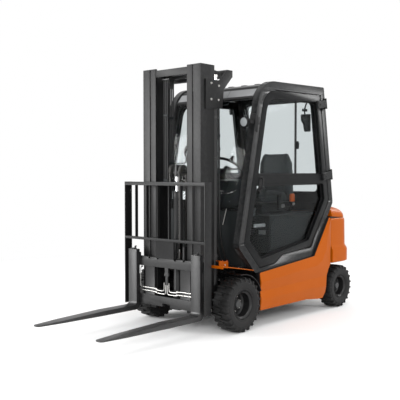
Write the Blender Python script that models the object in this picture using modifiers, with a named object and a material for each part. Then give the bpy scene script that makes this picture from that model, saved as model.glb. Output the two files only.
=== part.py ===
"""Four-wheel electric counterbalance forklift with a closed cab, as separate named parts.

Metres, +Z up. +X is the truck's left side and -Y is forwards, where the forks point.
Heights are above the ground, and Y values below are measured from the front axle,
because every part hangs from the empty `truck`, which stands under that axle.
"""

import math

import bmesh
import bpy
from mathutils import Matrix, Vector

# ---- driving dimensions ----
WHEELBASE = 1.515
REAR_OVERHANG = 0.300
LOAD_DISTANCE = 0.384       # front axle to the forks' upright face
FORK_LENGTH = 1.000
FORK_WIDTH = 0.100
FORK_THICKNESS = 0.0395
FORK_CENTRE_X = 0.365
FORK_GROUND_GAP = 0.134     # underside of the blades, forks carried a little off the ground

FRONT_TYRE_RADIUS = 0.2285
FRONT_TYRE_WIDTH = 0.168
FRONT_TYRE_X = 0.472
REAR_TYRE_RADIUS = 0.205
REAR_TYRE_WIDTH = 0.150
REAR_TYRE_X = 0.478
KINGPIN_X = 0.358
RIM_SHARE = 0.505           # rim radius over tyre radius, the same on both tyre sizes

BODY_HALF_WIDTH = 0.532
BODY_BOTTOM = 0.145
SEAM_Y = 1.360              # where the side panels end and the counterweight starts
PANEL = 0.050               # side panel thickness, with its inner frame

CAB_HALF_WIDTH = 0.512
CAB_RING_DEPTH = 0.060
CAB_RING_WIDTH = 0.066
ROOF_HEIGHT = 2.085
ROOF_SHEET = 0.040
WINDSCREEN_BOTTOM = 0.985
DOOR_DEPTH = 0.036
DOOR_FRAME = 0.066
DOOR_GAP = 0.006
HINGE_HEIGHTS = (1.290, 1.955)
HINGE_HALF = 0.036
HINGE_OUT = 0.013
GLASS = 0.006
MID_RAIL_LOW = 1.205
MID_RAIL_HIGH = 1.290

MAST_HEIGHT = 2.180
MAST_BOTTOM = 0.150
MAST_FRONT_Y = -0.284
RAIL_DEPTH = 0.169
RAIL_WALL = 0.018
OUTER_RAIL_X = (0.251, 0.330)
INNER_RAIL_X = (0.180, 0.240)
LIFT_BARREL_GAP = 0.280      # mast top down to the lift barrels' open ends
LIFT_BARREL_X = 0.296
LIFT_BARREL_RADIUS = 0.030
LIFT_BARREL_Y = -0.075
FREE_BARREL_TOP = 1.150
CROSSHEAD_TOP = 1.372

CARRIAGE_HALF_WIDTH = 0.4555
UPPER_BAR = (0.514, 0.594)
LOWER_BAR = (0.188, 0.272)
BACKREST_TOP = 1.230
BACKREST_CROSS = 0.740
BACKREST_BARS = 8

AXLE_TUBE_RADIUS = 0.060
TILT_PIN = (0.305, -0.012, 0.400)      # on the mast
TILT_TRUNNION = (0.305, 0.220, 0.395)  # on the chassis
TILT_PIN_RADIUS = 0.010
FLOOR_TOP = 0.528
SEAT_Y = 0.900
SEAT_BASE_TOP = 1.030
STEERING_WHEEL = (0.0, 0.455, 1.345)
STEERING_TILT = 38

SEAT_GAP = 0.0004           # between faces that rest on each other
RUN_GAP = 0.0005            # between a roller, pin or rod and what it runs in
PIN_DRIFT = 0.0025          # room in a rod eye, because its linkage is opened there
CLEAR = 0.006               # between parts that move past each other

TYRE_SIDES = 32
ROUND_SIDES = 24

AXLE_Y = (LOAD_DISTANCE + FORK_LENGTH - WHEELBASE - REAR_OVERHANG) / 2
FLAT = math.cos(math.pi / TYRE_SIDES)
FRONT_AXLE_Z = FRONT_TYRE_RADIUS * FLAT
REAR_AXLE_Z = REAR_TYRE_RADIUS * FLAT
FORK_FACE_Y = -LOAD_DISTANCE
BAR_FRONT_Y = FORK_FACE_Y + FORK_THICKNESS + SEAT_GAP
BAR_BACK_Y = BAR_FRONT_Y + 0.040
CARRIAGE_FRONT_Y = BAR_BACK_Y + RUN_GAP
RAIL_BACK_Y = MAST_FRONT_Y + RAIL_DEPTH
ROLLER_Y = MAST_FRONT_Y + RAIL_DEPTH / 2
ROLLER_RADIUS = RAIL_DEPTH / 2 - RAIL_WALL - RUN_GAP
REAR_Y = WHEELBASE + REAR_OVERHANG
FENDER_SEAT = FRONT_AXLE_Z + FRONT_TYRE_RADIUS + 0.0216
FENDER_KNEE = 0.120
FENDER_FALL = 0.190


# ---- scene, materials and placing ----
for old in list(bpy.data.objects):
    bpy.data.objects.remove(old, do_unlink=True)

parts = bpy.data.collections.new("forklift")
bpy.context.scene.collection.children.link(parts)


def material(name, colour, roughness, metallic=0.0, alpha=1.0):
    made = bpy.data.materials.new(name)
    made.use_nodes = True
    shader = made.node_tree.nodes["Principled BSDF"]
    shader.inputs["Base Color"].default_value = (*colour, 1.0)
    shader.inputs["Roughness"].default_value = roughness
    shader.inputs["Metallic"].default_value = metallic
    shader.inputs["Alpha"].default_value = alpha
    made.diffuse_color = (*colour, alpha)
    return made


ORANGE = material("body_orange", (0.80, 0.20, 0.02), 0.42)
CAB_GREY = material("cab_grey", (0.075, 0.078, 0.082), 0.48)
DARK_PLASTIC = material("dark_plastic", (0.03, 0.034, 0.036), 0.6)
MAST_GREY = material("mast_grey", (0.06, 0.06, 0.062), 0.45, 0.3)
FORK_BLACK = material("fork_black", (0.02, 0.02, 0.021), 0.45, 0.4)
CHASSIS_BLACK = material("chassis_black", (0.015, 0.015, 0.016), 0.6)
BATTERY_CASE = material("battery_case", (0.015, 0.015, 0.016), 0.7)
RUBBER = material("rubber", (0.018, 0.018, 0.019), 0.85)
RIM_BLACK = material("rim_black", (0.02, 0.02, 0.022), 0.5, 0.2)
CHROME = material("chrome", (0.75, 0.75, 0.76), 0.12, 1.0)
CLEAR_GLASS = material("clear_glass", (0.75, 0.80, 0.80), 0.05, 0.0, 0.3)
SEAT_VINYL = material("seat_vinyl", (0.03, 0.034, 0.036), 0.7)


def joint_empty(name, at, parent=None):
    """An empty at a point of the truck, kept with its place measured from the front axle."""
    empty = bpy.data.objects.new(name, None)
    parts.objects.link(empty)
    empty["at"] = at
    empty.empty_display_size = 0.1
    if parent:
        empty.parent = parent
        empty.location = Vector(at) - Vector(parent["at"])
    return empty


def finish(made, name, look, pivot, smooth=False):
    """Names a part, gives it its material and hangs it on its joint's empty, without moving it."""
    made.name = name
    made.data.name = name
    made.data.materials.clear()
    made.data.materials.append(look)
    made.parent = pivot
    made.location = Vector(made.location) - Vector(pivot["at"])
    if smooth:
        made.data.shade_smooth()
        made.data.set_sharp_from_angle(angle=math.radians(35))
    return made


# ---- shapes ----
def mesh_object(name, mesh):
    made = bpy.data.objects.new(name, mesh)
    parts.objects.link(made)
    return made


def box(low, high):
    bm = bmesh.new()
    size = [b - a for a, b in zip(low, high)]
    centre = [(a + b) / 2 for a, b in zip(low, high)]
    place = Matrix.Translation(centre) @ Matrix.Diagonal((*size, 1.0))
    bmesh.ops.create_cube(bm, size=1.0, matrix=place)
    mesh = bpy.data.meshes.new("box")
    bm.to_mesh(mesh)
    bm.free()
    return mesh_object("box", mesh)


def rod(start, end, radius, sides=ROUND_SIDES):
    """A round bar from one point to another, with a flat side down when it lies level."""
    start = Vector(start)
    end = Vector(end)
    along = end - start
    turn = along.to_track_quat("Z", "Y").to_matrix().to_4x4()
    spin = Matrix.Rotation(math.pi / sides, 4, "Z")
    place = Matrix.Translation((start + end) / 2) @ turn @ spin
    bm = bmesh.new()
    bmesh.ops.create_cone(
        bm, cap_ends=True, segments=sides, radius1=radius, radius2=radius, depth=along.length, matrix=place
    )
    mesh = bpy.data.meshes.new("rod")
    bm.to_mesh(mesh)
    bm.free()
    return mesh_object("rod", mesh)


def rounded(corners, steps=4):
    """An outline from (u, v, radius) corners, each corner with a radius made an arc of a few points."""
    outline = []
    count = len(corners)
    for i, (u, v, radius) in enumerate(corners):
        here = Vector((u, v))
        if not radius:
            outline.append(here)
            continue
        back = (Vector(corners[i - 1][:2]) - here).normalized()
        ahead = (Vector(corners[(i + 1) % count][:2]) - here).normalized()
        half = back.angle(ahead) / 2
        middle = here + (back + ahead).normalized() * (radius / math.sin(half))
        first = here + back * (radius / math.tan(half)) - middle
        last = here + ahead * (radius / math.tan(half)) - middle
        sweep = first.angle_signed(last)
        for k in range(steps + 1):
            turned = first.copy()
            turned.rotate(Matrix.Rotation(-sweep * k / steps, 2))
            outline.append(middle + turned)
    return outline


def inset(corners, by):
    """The same corners moved inwards by a distance, one for all edges or one for each edge."""
    count = len(corners)
    if isinstance(by, float):
        by = [by] * count
    points = [Vector(corner[:2]) for corner in corners]
    area = sum(points[i - 1].cross(points[i]) for i in range(count))
    side = 1 if area > 0 else -1
    lines = []
    for i in range(count):
        along = (points[(i + 1) % count] - points[i]).normalized()
        normal = Vector((-along.y, along.x)) * side
        lines.append((points[i] + normal * by[i], along))
    moved = []
    for i in range(count):
        (p, d), (q, e) = lines[i - 1], lines[i]
        t = (q - p).cross(e) / d.cross(e)
        corner = p + d * t
        moved.append((corner.x, corner.y, max(corners[i][2] - min(by), 0.0)))
    return moved


PLANES = {
    "YZ": Matrix(((0, 0, 1, 0), (1, 0, 0, 0), (0, 1, 0, 0), (0, 0, 0, 1))),
    "XZ": Matrix(((1, 0, 0, 0), (0, 0, -1, 0), (0, 1, 0, 0), (0, 0, 0, 1))),
    "XY": Matrix.Identity(4),
}


def plate(outlines, plane, low, high):
    """A flat outline, with holes if there is more than one, drawn in a plane and filled from low to high."""
    curve = bpy.data.curves.new("outline", "CURVE")
    curve.dimensions = "2D"
    curve.fill_mode = "BOTH"
    curve.extrude = abs(high - low) / 2
    for outline in outlines:
        spline = curve.splines.new("POLY")
        spline.points.add(len(outline) - 1)
        for point, (u, v) in zip(spline.points, outline):
            point.co = (u, v, 0, 1)
        spline.use_cyclic_u = True
    guide = bpy.data.objects.new("outline", curve)
    parts.objects.link(guide)
    bpy.context.view_layer.update()
    drawn = guide.evaluated_get(bpy.context.evaluated_depsgraph_get())
    mesh = bpy.data.meshes.new_from_object(drawn)
    bpy.data.objects.remove(guide)
    bm = bmesh.new()
    bm.from_mesh(mesh)
    bmesh.ops.remove_doubles(bm, verts=bm.verts, dist=1e-5)
    middle = (low + high) / 2
    if plane == "XZ":
        middle = -middle
    bmesh.ops.transform(bm, matrix=PLANES[plane] @ Matrix.Translation((0, 0, middle)), verts=bm.verts)
    bmesh.ops.recalc_face_normals(bm, faces=bm.faces)
    bm.to_mesh(mesh)
    bm.free()
    return mesh_object("plate", mesh)


def turned(profile, centre, axis, side=1, sides=ROUND_SIDES):
    """A (radius, along) profile turned about a line through the centre, along +X, +Y or +Z."""
    bm = bmesh.new()
    rows = [bm.verts.new((radius, 0, along * side)) for radius, along in profile]
    for a, b in zip(rows, rows[1:]):
        bm.edges.new((a, b))
    mesh = bpy.data.meshes.new("turned")
    bm.to_mesh(mesh)
    bm.free()
    made = mesh_object("turned", mesh)
    screw = made.modifiers.new("turn", "SCREW")
    screw.steps = sides
    screw.render_steps = sides
    screw.use_merge_vertices = True
    screw.merge_threshold = 1e-5
    bake(made)
    turn = {"X": Matrix.Rotation(math.pi / 2, 4, "Y"), "Y": Matrix.Rotation(-math.pi / 2, 4, "X")}
    place = Matrix.Translation(centre) @ turn.get(axis, Matrix.Identity(4))
    bm = bmesh.new()
    bm.from_mesh(made.data)
    bmesh.ops.remove_doubles(bm, verts=bm.verts, dist=1e-6)
    bmesh.ops.transform(bm, matrix=place @ Matrix.Rotation(math.pi / sides, 4, "Z"), verts=bm.verts)
    bmesh.ops.recalc_face_normals(bm, faces=bm.faces)
    bm.to_mesh(made.data)
    bm.free()
    return made


def bake(made):
    """Makes a part's modifiers part of its mesh."""
    bpy.context.view_layer.update()
    seen = made.evaluated_get(bpy.context.evaluated_depsgraph_get())
    mesh = bpy.data.meshes.new_from_object(seen)
    made.modifiers.clear()
    made.data = mesh


def combine(first, others, operation):
    for other in others:
        modifier = first.modifiers.new(operation.lower(), "BOOLEAN")
        modifier.operation = operation
        modifier.solver = "EXACT"
        modifier.object = other
    bake(first)
    for other in others:
        bpy.data.objects.remove(other)
    return first


def fuse(first, *others):
    return combine(first, others, "UNION")


def carve(first, *others):
    return combine(first, others, "DIFFERENCE")


def mirrored(corners):
    """A plan outline made whole from its +X half, listed from the front centre to the rear centre."""
    return corners + [(-u, v, radius) for u, v, radius in reversed(corners)]


def spread(values, side):
    """Low and high X of a pair of values on the left (+1) or the right (-1) side."""
    return sorted(value * side for value in values)


def side_box(xs, ys, zs, side):
    low, high = spread(xs, side)
    return box((low, ys[0], zs[0]), (high, ys[1], zs[1]))


SIDES = (("left", 1), ("right", -1))

truck = joint_empty("truck", (0.0, 0.0, 0.0))
truck.location = (0.0, AXLE_Y, 0.0)
tilt_axis = joint_empty("tilt_axis", (0.0, 0.0, FRONT_AXLE_Z), truck)
mast_slide = joint_empty("mast_slide", (0.0, ROLLER_Y, FRONT_AXLE_Z), tilt_axis)
carriage_slide = joint_empty("carriage_slide", (0.0, ROLLER_Y, LOWER_BAR[0]), mast_slide)
shift_slide = joint_empty("shift_slide", (0.0, BAR_BACK_Y, LOWER_BAR[0]), carriage_slide)


# ---- cab side outlines, in the truck's side view ----
RING = [
    (-0.025, 0.700, 0.060),
    (0.205, 0.462, 0.030),
    (1.070, 0.535, 0.020),
    (1.420, 1.020, 0.060),
    (1.248, ROOF_HEIGHT + 0.020, 0.015),
    (0.271, ROOF_HEIGHT, 0.240),
]
A_PILLAR_LEAN = (RING[5][0] - RING[0][0]) / (RING[5][1] - RING[0][1])
C_PILLAR_LEAN = (RING[3][0] - RING[4][0]) / (RING[4][1] - RING[3][1])
DOOR_HOLE = inset(RING, [CAB_RING_WIDTH, 0.032, CAB_RING_WIDTH, CAB_RING_WIDTH, 0.072, CAB_RING_WIDTH])
SILL_STEP = [(0.480, 0.0), (0.590, 0.056)]   # the door's lower edge steps up behind the driver's foot


def step_sill(corners):
    """Puts the step into the long lower edge of a door outline, which runs from corner 1 to corner 2."""
    start = Vector(corners[1][:2])
    end = Vector(corners[2][:2])
    slope = (end.y - start.y) / (end.x - start.x)
    stepped = [(y, start.y + (y - start.x) * slope + rise, 0.02) for y, rise in SILL_STEP]
    last = (end.x + SILL_STEP[1][1] * 0.72, end.y + SILL_STEP[1][1], corners[2][2])
    return corners[:2] + stepped + [last] + corners[3:]


def pillar_y(z, lean_in=0.0):
    """Front face of the windscreen pillars at a height, moved back by lean_in."""
    return RING[0][0] + (z - RING[0][1]) * A_PILLAR_LEAN + lean_in


def c_pillar_y(z):
    return RING[3][0] - (z - RING[3][1]) * C_PILLAR_LEAN


def make_chassis():
    slope = (RING[2][1] - RING[1][1]) / (RING[2][0] - RING[1][0])
    sill = RING[1][1] + 0.034 * slope - SEAT_GAP
    diagonal = (RING[3][0] - RING[2][0]) / (RING[3][1] - RING[2][1])
    front = FRONT_TYRE_RADIUS + 0.016
    top_y = SEAM_Y - 0.035
    side_outline = [
        (front, BODY_BOTTOM, 0.01),
        (front, 0.400, 0.0),
        (RING[1][0] + 0.030, sill - 0.012, 0.0),
        (RING[1][0] + 0.034, sill, 0.0),
        (RING[2][0] + 0.004, RING[2][1] - SEAT_GAP - 0.001, 0.0),
        (top_y, RING[2][1] + (top_y - RING[2][0]) / diagonal - 0.006, 0.01),
        (SEAM_Y, 0.860, 0.0),
        (SEAM_Y, 0.440, 0.0),
        (1.318, 0.385, 0.0),
        (1.262, 0.260, 0.05),
        (1.262, 0.180, 0.05),
        (1.215, BODY_BOTTOM - 0.020, 0.02),
        (1.130, BODY_BOTTOM - 0.020, 0.02),
        (0.950, BODY_BOTTOM, 0.02),
    ]
    outline = rounded(side_outline)
    chassis = plate([outline], "YZ", BODY_HALF_WIDTH - PANEL, BODY_HALF_WIDTH)
    right = plate([outline], "YZ", PANEL - BODY_HALF_WIDTH, -BODY_HALF_WIDTH)
    inner = BODY_HALF_WIDTH - PANEL / 2
    cross = [
        box((-inner, 0.255, BODY_BOTTOM + 0.01), (inner, 0.275, 0.440)),
        box((-0.445, 0.255, 0.430), (0.445, 0.275, FLOOR_TOP - 0.016 - SEAT_GAP)),
        box((-inner, 0.265, BODY_BOTTOM + 0.01), (inner, 1.215, BODY_BOTTOM + 0.03)),
        box((-inner, 1.195, BODY_BOTTOM + 0.02), (inner, 1.215, 0.600)),
        box((-inner, 1.215 - 0.01, 0.560), (inner, SEAM_Y, 0.600)),
    ]
    for _, side in SIDES:
        cross.append(side_box((0.200, 0.250), (-0.034, 0.265), (0.330, 0.440), side))
        cross.append(side_box((0.225, 0.250), (0.085, 0.105), (0.430, FENDER_SEAT), side))
        cross.append(side_box((0.225, 0.374), (0.085, 0.105), (0.454, FENDER_SEAT), side))
        x, y, z = TILT_TRUNNION
        for lug in (x - 0.027, x + 0.017):
            cross.append(side_box((lug, lug + 0.010), (y - 0.0125, 0.260), (z - 0.022, z + 0.022), side))
        cross.append(rod((side * (x - 0.022), y, z), (side * (x + 0.022), y, z), TILT_PIN_RADIUS, 12))
    fuse(chassis, right, *cross)
    finish(chassis, "chassis", ORANGE, truck)


def make_front_fenders():
    """A thin cover over each front tyre, bolted to the frame rail beside it."""
    knee = FENDER_SEAT + SEAT_GAP + (0.105 - FENDER_KNEE) * FENDER_FALL
    front = -0.215
    rise = (FENDER_KNEE - front) * FENDER_FALL
    for name, side in SIDES:
        outline = rounded([
            (front, knee + rise, 0.0),
            (FENDER_KNEE, knee, 0.03),
            (0.206, 0.410, 0.0),
            (0.214, 0.418, 0.0),
            (FENDER_KNEE + 0.006, knee + 0.011, 0.04),
            (front, knee + rise + 0.010, 0.0),
        ])
        low, high = spread((0.360, BODY_HALF_WIDTH), side)
        fender = plate([outline], "YZ", low, high)
        finish(fender, f"front_fender_{name}", ORANGE, truck)


def make_counterweight():
    def block(grow, low, high, front):
        half = BODY_HALF_WIDTH + grow
        rear = REAR_Y - 0.018 + grow
        corners = mirrored([(half, front, 0.01), (half, rear - 0.14, 0.16), (0.32, rear, 0.12)])
        return plate([rounded(corners, 6)], "XY", low, high)

    front = SEAM_Y + SEAT_GAP
    weight = block(0.0, 0.590, 0.868, front)
    skirt = block(0.018, 0.440, 0.600, front + 0.012)
    neck = block(-0.030, 0.860, 0.892, 1.435)
    cap = block(-0.012, 0.884, 0.990, 1.430)
    ballast = box((-0.165, WHEELBASE + 0.060, 0.175), (0.165, REAR_Y - 0.040, 0.460))
    saddle = box((-0.165, front, 0.2785), (0.165, WHEELBASE + 0.070, 0.460))
    fuse(weight, skirt, neck, cap, ballast, saddle)
    tow = box((-0.050, REAR_Y - 0.110, 0.300), (0.050, REAR_Y + 0.010, 0.350))
    carve(weight, tow)
    finish(weight, "counterweight", ORANGE, truck)


def make_battery():
    tray = BODY_BOTTOM + 0.03 + SEAT_GAP
    battery = box((-0.415, 0.520, tray), (0.415, 1.150, tray + 0.627))
    finish(battery, "battery", BATTERY_CASE, truck)
    wall = 0.014
    low = (-0.440, 0.495, 0.6004)
    high = (0.440, 1.215, 0.930)
    hood = box(low, high)
    carve(hood, box(
        (low[0] + wall, low[1] + wall, low[2] - 0.1),
        (high[0] - wall, high[1] - wall, high[2] - wall),
    ))
    fuse(hood, box((-0.440, 1.205, 0.916), (0.440, 1.3596, 0.930)))
    finish(hood, "battery_hood", DARK_PLASTIC, truck)


def make_floor():
    floor = box((-0.4515, 0.045, FLOOR_TOP - 0.016), (0.4515, 0.488, FLOOR_TOP))
    finish(floor, "floor_plate", CHASSIS_BLACK, truck)


def make_dash():
    """Front wall of the cab below the windscreen, the dash pod and the steering column."""
    floor = FLOOR_TOP + SEAT_GAP
    wall = rounded([
        (0.095, floor, 0.0),
        (0.135, floor, 0.0),
        (pillar_y(WINDSCREEN_BOTTOM, 0.075), WINDSCREEN_BOTTOM, 0.0),
        (pillar_y(WINDSCREEN_BOTTOM, 0.010), WINDSCREEN_BOTTOM, 0.0),
        (0.075, 0.700, 0.0),
    ])
    dash = plate([wall], "YZ", -0.4515, 0.4515)
    pod = plate([rounded([
        (0.105, 0.930, 0.0),
        (0.300, 0.960, 0.03),
        (0.430, 1.130, 0.02),
        (0.400, 1.250, 0.03),
        (0.230, 1.235, 0.03),
        (0.105, 0.980, 0.0),
    ])], "YZ", -0.205, 0.205)
    lean = math.radians(STEERING_TILT)
    hub = Vector(STEERING_WHEEL)
    down = Vector((0, -math.sin(lean), -math.cos(lean)))
    column = rod(hub + down * 0.0305, hub + down * 0.260, 0.036, 16)
    fuse(dash, pod, column)
    finish(dash, "dash_cowl", DARK_PLASTIC, truck)
    return hub, -down


def make_steering_wheel(hub, up):
    """Rim, two spokes and hub, which turns on the column."""
    pivot = joint_empty("steering_wheel_axis", tuple(hub), truck)
    face = up.to_track_quat("Z", "Y").to_matrix().to_4x4()
    bm = bmesh.new()
    ring, section = 28, 8
    rows = []
    for i in range(ring):
        turn = 2 * math.pi * i / ring
        row = []
        for k in range(section):
            lift = 2 * math.pi * k / section
            radius = 0.145 + 0.013 * math.cos(lift)
            at = Vector((radius * math.cos(turn), radius * math.sin(turn), 0.013 * math.sin(lift)))
            row.append(bm.verts.new(at))
        rows.append(row)
    for i in range(ring):
        for k in range(section):
            after = (k + 1) % section
            beyond = rows[(i + 1) % ring]
            bm.faces.new((rows[i][k], beyond[k], beyond[after], rows[i][after]))
    bm.transform(Matrix.Translation(hub) @ face)
    mesh = bpy.data.meshes.new("steering_wheel")
    bm.to_mesh(mesh)
    bm.free()
    wheel = mesh_object("steering_wheel", mesh)
    middle = rod(hub - up * 0.030, hub + up * 0.006, 0.034, 16)
    spokes = [rod(hub - up * 0.010, hub + face @ Vector((s * 0.145, 0, 0)), 0.009, 8) for s in (-1, 1)]
    fuse(wheel, middle, *spokes)
    finish(wheel, "steering_wheel", DARK_PLASTIC, pivot, smooth=True)


def make_seat():
    base = plate([rounded([
        (SEAT_Y - 0.210, 0.9304, 0.0),
        (SEAT_Y + 0.280, 0.9304, 0.0),
        (SEAT_Y + 0.260, SEAT_BASE_TOP, 0.02),
        (SEAT_Y - 0.190, SEAT_BASE_TOP, 0.02),
    ])], "YZ", -0.200, 0.200)
    finish(base, "seat_base", DARK_PLASTIC, truck)
    cushion = plate([rounded([
        (SEAT_Y - 0.250, SEAT_BASE_TOP + SEAT_GAP, 0.03),
        (SEAT_Y + 0.200, SEAT_BASE_TOP + SEAT_GAP, 0.0),
        (SEAT_Y + 0.180, 1.140, 0.03),
        (SEAT_Y - 0.250, 1.150, 0.05),
    ])], "YZ", -0.235, 0.235)
    finish(cushion, "seat_cushion", SEAT_VINYL, truck)
    back = plate([rounded([
        (-0.225, SEAT_BASE_TOP + SEAT_GAP, 0.03),
        (0.225, SEAT_BASE_TOP + SEAT_GAP, 0.03),
        (0.235, 1.510, 0.11),
        (-0.235, 1.510, 0.11),
    ], 6)], "XZ", SEAT_Y + 0.206, SEAT_Y + 0.310)
    finish(back, "seat_back", SEAT_VINYL, truck)
    console = plate([rounded([
        (0.560, 0.9304, 0.0),
        (1.060, 0.9304, 0.0),
        (1.060, 1.200, 0.02),
        (0.620, 1.215, 0.03),
        (0.560, 1.120, 0.02),
    ])], "YZ", -0.415, -0.262)
    finish(console, "armrest_console", DARK_PLASTIC, truck)


def make_cab():
    outer = rounded(RING, 5)
    hole_corners = step_sill(DOOR_HOLE)
    hole = rounded(hole_corners, 5)
    inner_face = CAB_HALF_WIDTH - CAB_RING_DEPTH
    for name, side in SIDES:
        low, high = spread((inner_face, CAB_HALF_WIDTH), side)
        ring = plate([outer, hole], "YZ", low, high)
        fuse(ring, *[knuckle for z in HINGE_HEIGHTS for knuckle in hinge_knuckles(side, z)])
        finish(ring, f"cab_side_{name}", CAB_GREY, truck)

    half = inner_face - SEAT_GAP
    top = ROOF_HEIGHT - 0.008
    roof = plate([rounded([
        (0.262, 1.945, 0.0),
        (0.345, top - 0.030, 0.03),
        (0.470, top, 0.03),
        (1.225, top + 0.016, 0.01),
        (1.225, top + 0.016 - ROOF_SHEET, 0.01),
        (0.480, top - ROOF_SHEET, 0.03),
        (0.385, top - 0.062, 0.03),
        (0.302, 1.945, 0.0),
    ])], "YZ", -half, half)
    finish(roof, "cab_roof", CAB_GREY, truck)

    low = WINDSCREEN_BOTTOM + SEAT_GAP
    high = 1.945 - SEAT_GAP
    glass = plate([[
        Vector((pillar_y(low, 0.030), low)),
        Vector((pillar_y(low, 0.030 + GLASS), low)),
        Vector((pillar_y(high, 0.030 + GLASS), high)),
        Vector((pillar_y(high, 0.030), high)),
    ]], "YZ", -half, half)
    finish(glass, "windscreen", CLEAR_GLASS, truck)

    bottom = 0.9308
    upper = ROOF_HEIGHT + 0.008 - ROOF_SHEET - SEAT_GAP
    lean = math.atan(C_PILLAR_LEAN)
    height = (upper - 1.02 - 0.040 * math.sin(lean)) / math.cos(lean) - 0.001
    frame = plate([
        rounded([(-half, 0, 0), (half, 0, 0), (half, height, 0), (-half, height, 0)]),
        rounded([(-0.385, 0.10, 0.05), (0.385, 0.10, 0.05), (0.385, height - 0.07, 0.05),
                 (-0.385, height - 0.07, 0.05)]),
    ], "XZ", 0.0, 0.040)
    slant(frame, lean)
    lower = box((-half, c_pillar_y(1.02) - 0.060, bottom), (half, c_pillar_y(1.02) - 0.020, 1.030))
    fuse(frame, lower)
    finish(frame, "cab_rear_frame", CAB_GREY, truck)
    pane = plate([rounded([(-0.384, 0.101, 0.05), (0.384, 0.101, 0.05), (0.384, height - 0.071, 0.05),
                           (-0.384, height - 0.071, 0.05)])], "XZ", 0.016, 0.016 + GLASS)
    slant(pane, lean)
    finish(pane, "rear_window", CLEAR_GLASS, truck)
    return hole_corners


def slant(made, lean):
    """Leans a plate drawn upright at Y 0 and stands it along the rear pillars."""
    turn = Matrix.Rotation(lean, 4, "X")
    place = Matrix.Translation((0, c_pillar_y(1.02) - 0.062, 1.02))
    made.data.transform(place @ turn)


def make_doors(hole_corners):
    outer_corners = inset(hole_corners, DOOR_GAP)
    window = inset(outer_corners[:2] + outer_corners[4:], DOOR_FRAME)
    a, b, c, d, e, f = window

    def at_height(p, q, z):
        return p[0] + (q[0] - p[0]) * (z - p[1]) / (q[1] - p[1])

    lower = [
        (a[0], a[1], 0.03),
        (b[0], b[1], 0.02),
        (c[0], c[1], 0.03),
        (d[0], d[1], 0.03),
        (at_height(d, e, MID_RAIL_LOW), MID_RAIL_LOW, 0.015),
        (at_height(f, a, MID_RAIL_LOW), MID_RAIL_LOW, 0.015),
    ]
    upper = [
        (at_height(f, a, MID_RAIL_HIGH), MID_RAIL_HIGH, 0.015),
        (at_height(d, e, MID_RAIL_HIGH), MID_RAIL_HIGH, 0.015),
        (e[0], e[1], 0.03),
        (f[0], f[1], 0.15),
    ]
    pane = inset(outer_corners[:2] + outer_corners[4:], DOOR_FRAME - 0.014)
    outer = rounded(outer_corners, 5)
    face = CAB_HALF_WIDTH
    for name, side in SIDES:
        foot, top = hinge_points(side)
        pivot = joint_empty(f"door_{name}_axis", foot, truck)
        low, high = spread((face - DOOR_DEPTH, face), side)
        door = plate([outer, rounded(lower), rounded(upper)], "YZ", low, high)
        for z in HINGE_HEIGHTS:
            fuse(door, hinge_arm(side, z))
        finish(door, f"door_{name}", CAB_GREY, pivot)
        inner = face - DOOR_DEPTH - SEAT_GAP
        low, high = spread((inner - GLASS, inner), side)
        glass = plate([rounded(pane)], "YZ", low, high)
        finish(glass, f"door_glass_{name}", CLEAR_GLASS, pivot)


def hinge_points(side):
    """Two points of a door's hinge line, which leans with the rear pillar just outside the cab."""
    x = side * (CAB_HALF_WIDTH + HINGE_OUT)
    return [(x, c_pillar_y(z) - 0.006, z) for z in (1.200, 2.000)]


def on_hinge(made, z):
    """Takes a piece drawn about the hinge line at height 0 to its height along the leaning pillar."""
    turn = Matrix.Rotation(math.atan(C_PILLAR_LEAN), 4, "X")
    made.data.transform(Matrix.Translation((0, c_pillar_y(z) - 0.006, z)) @ turn)
    return made


def hinge_arm(side, z):
    """The door's half: a pad on its frame and a bridge over the pillar, round the pin."""
    face = CAB_HALF_WIDTH
    arm = side_box((face + 0.0055, face + 0.024), (-0.150, 0.008), (-HINGE_HALF, HINGE_HALF), side)
    pad = side_box((face - 0.003, face + 0.020), (-0.150, -0.086), (-HINGE_HALF, HINGE_HALF), side)
    return on_hinge(fuse(arm, pad), z)


def hinge_knuckles(side, z):
    """The pillar's half: a knuckle above and one below the arm."""
    face = CAB_HALF_WIDTH
    made = []
    for low in (HINGE_HALF + RUN_GAP, -HINGE_HALF - RUN_GAP - 0.012):
        made.append(on_hinge(side_box((face - 0.003, face + 0.024), (-0.014, 0.004), (low, low + 0.012), side), z))
    return made


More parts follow.
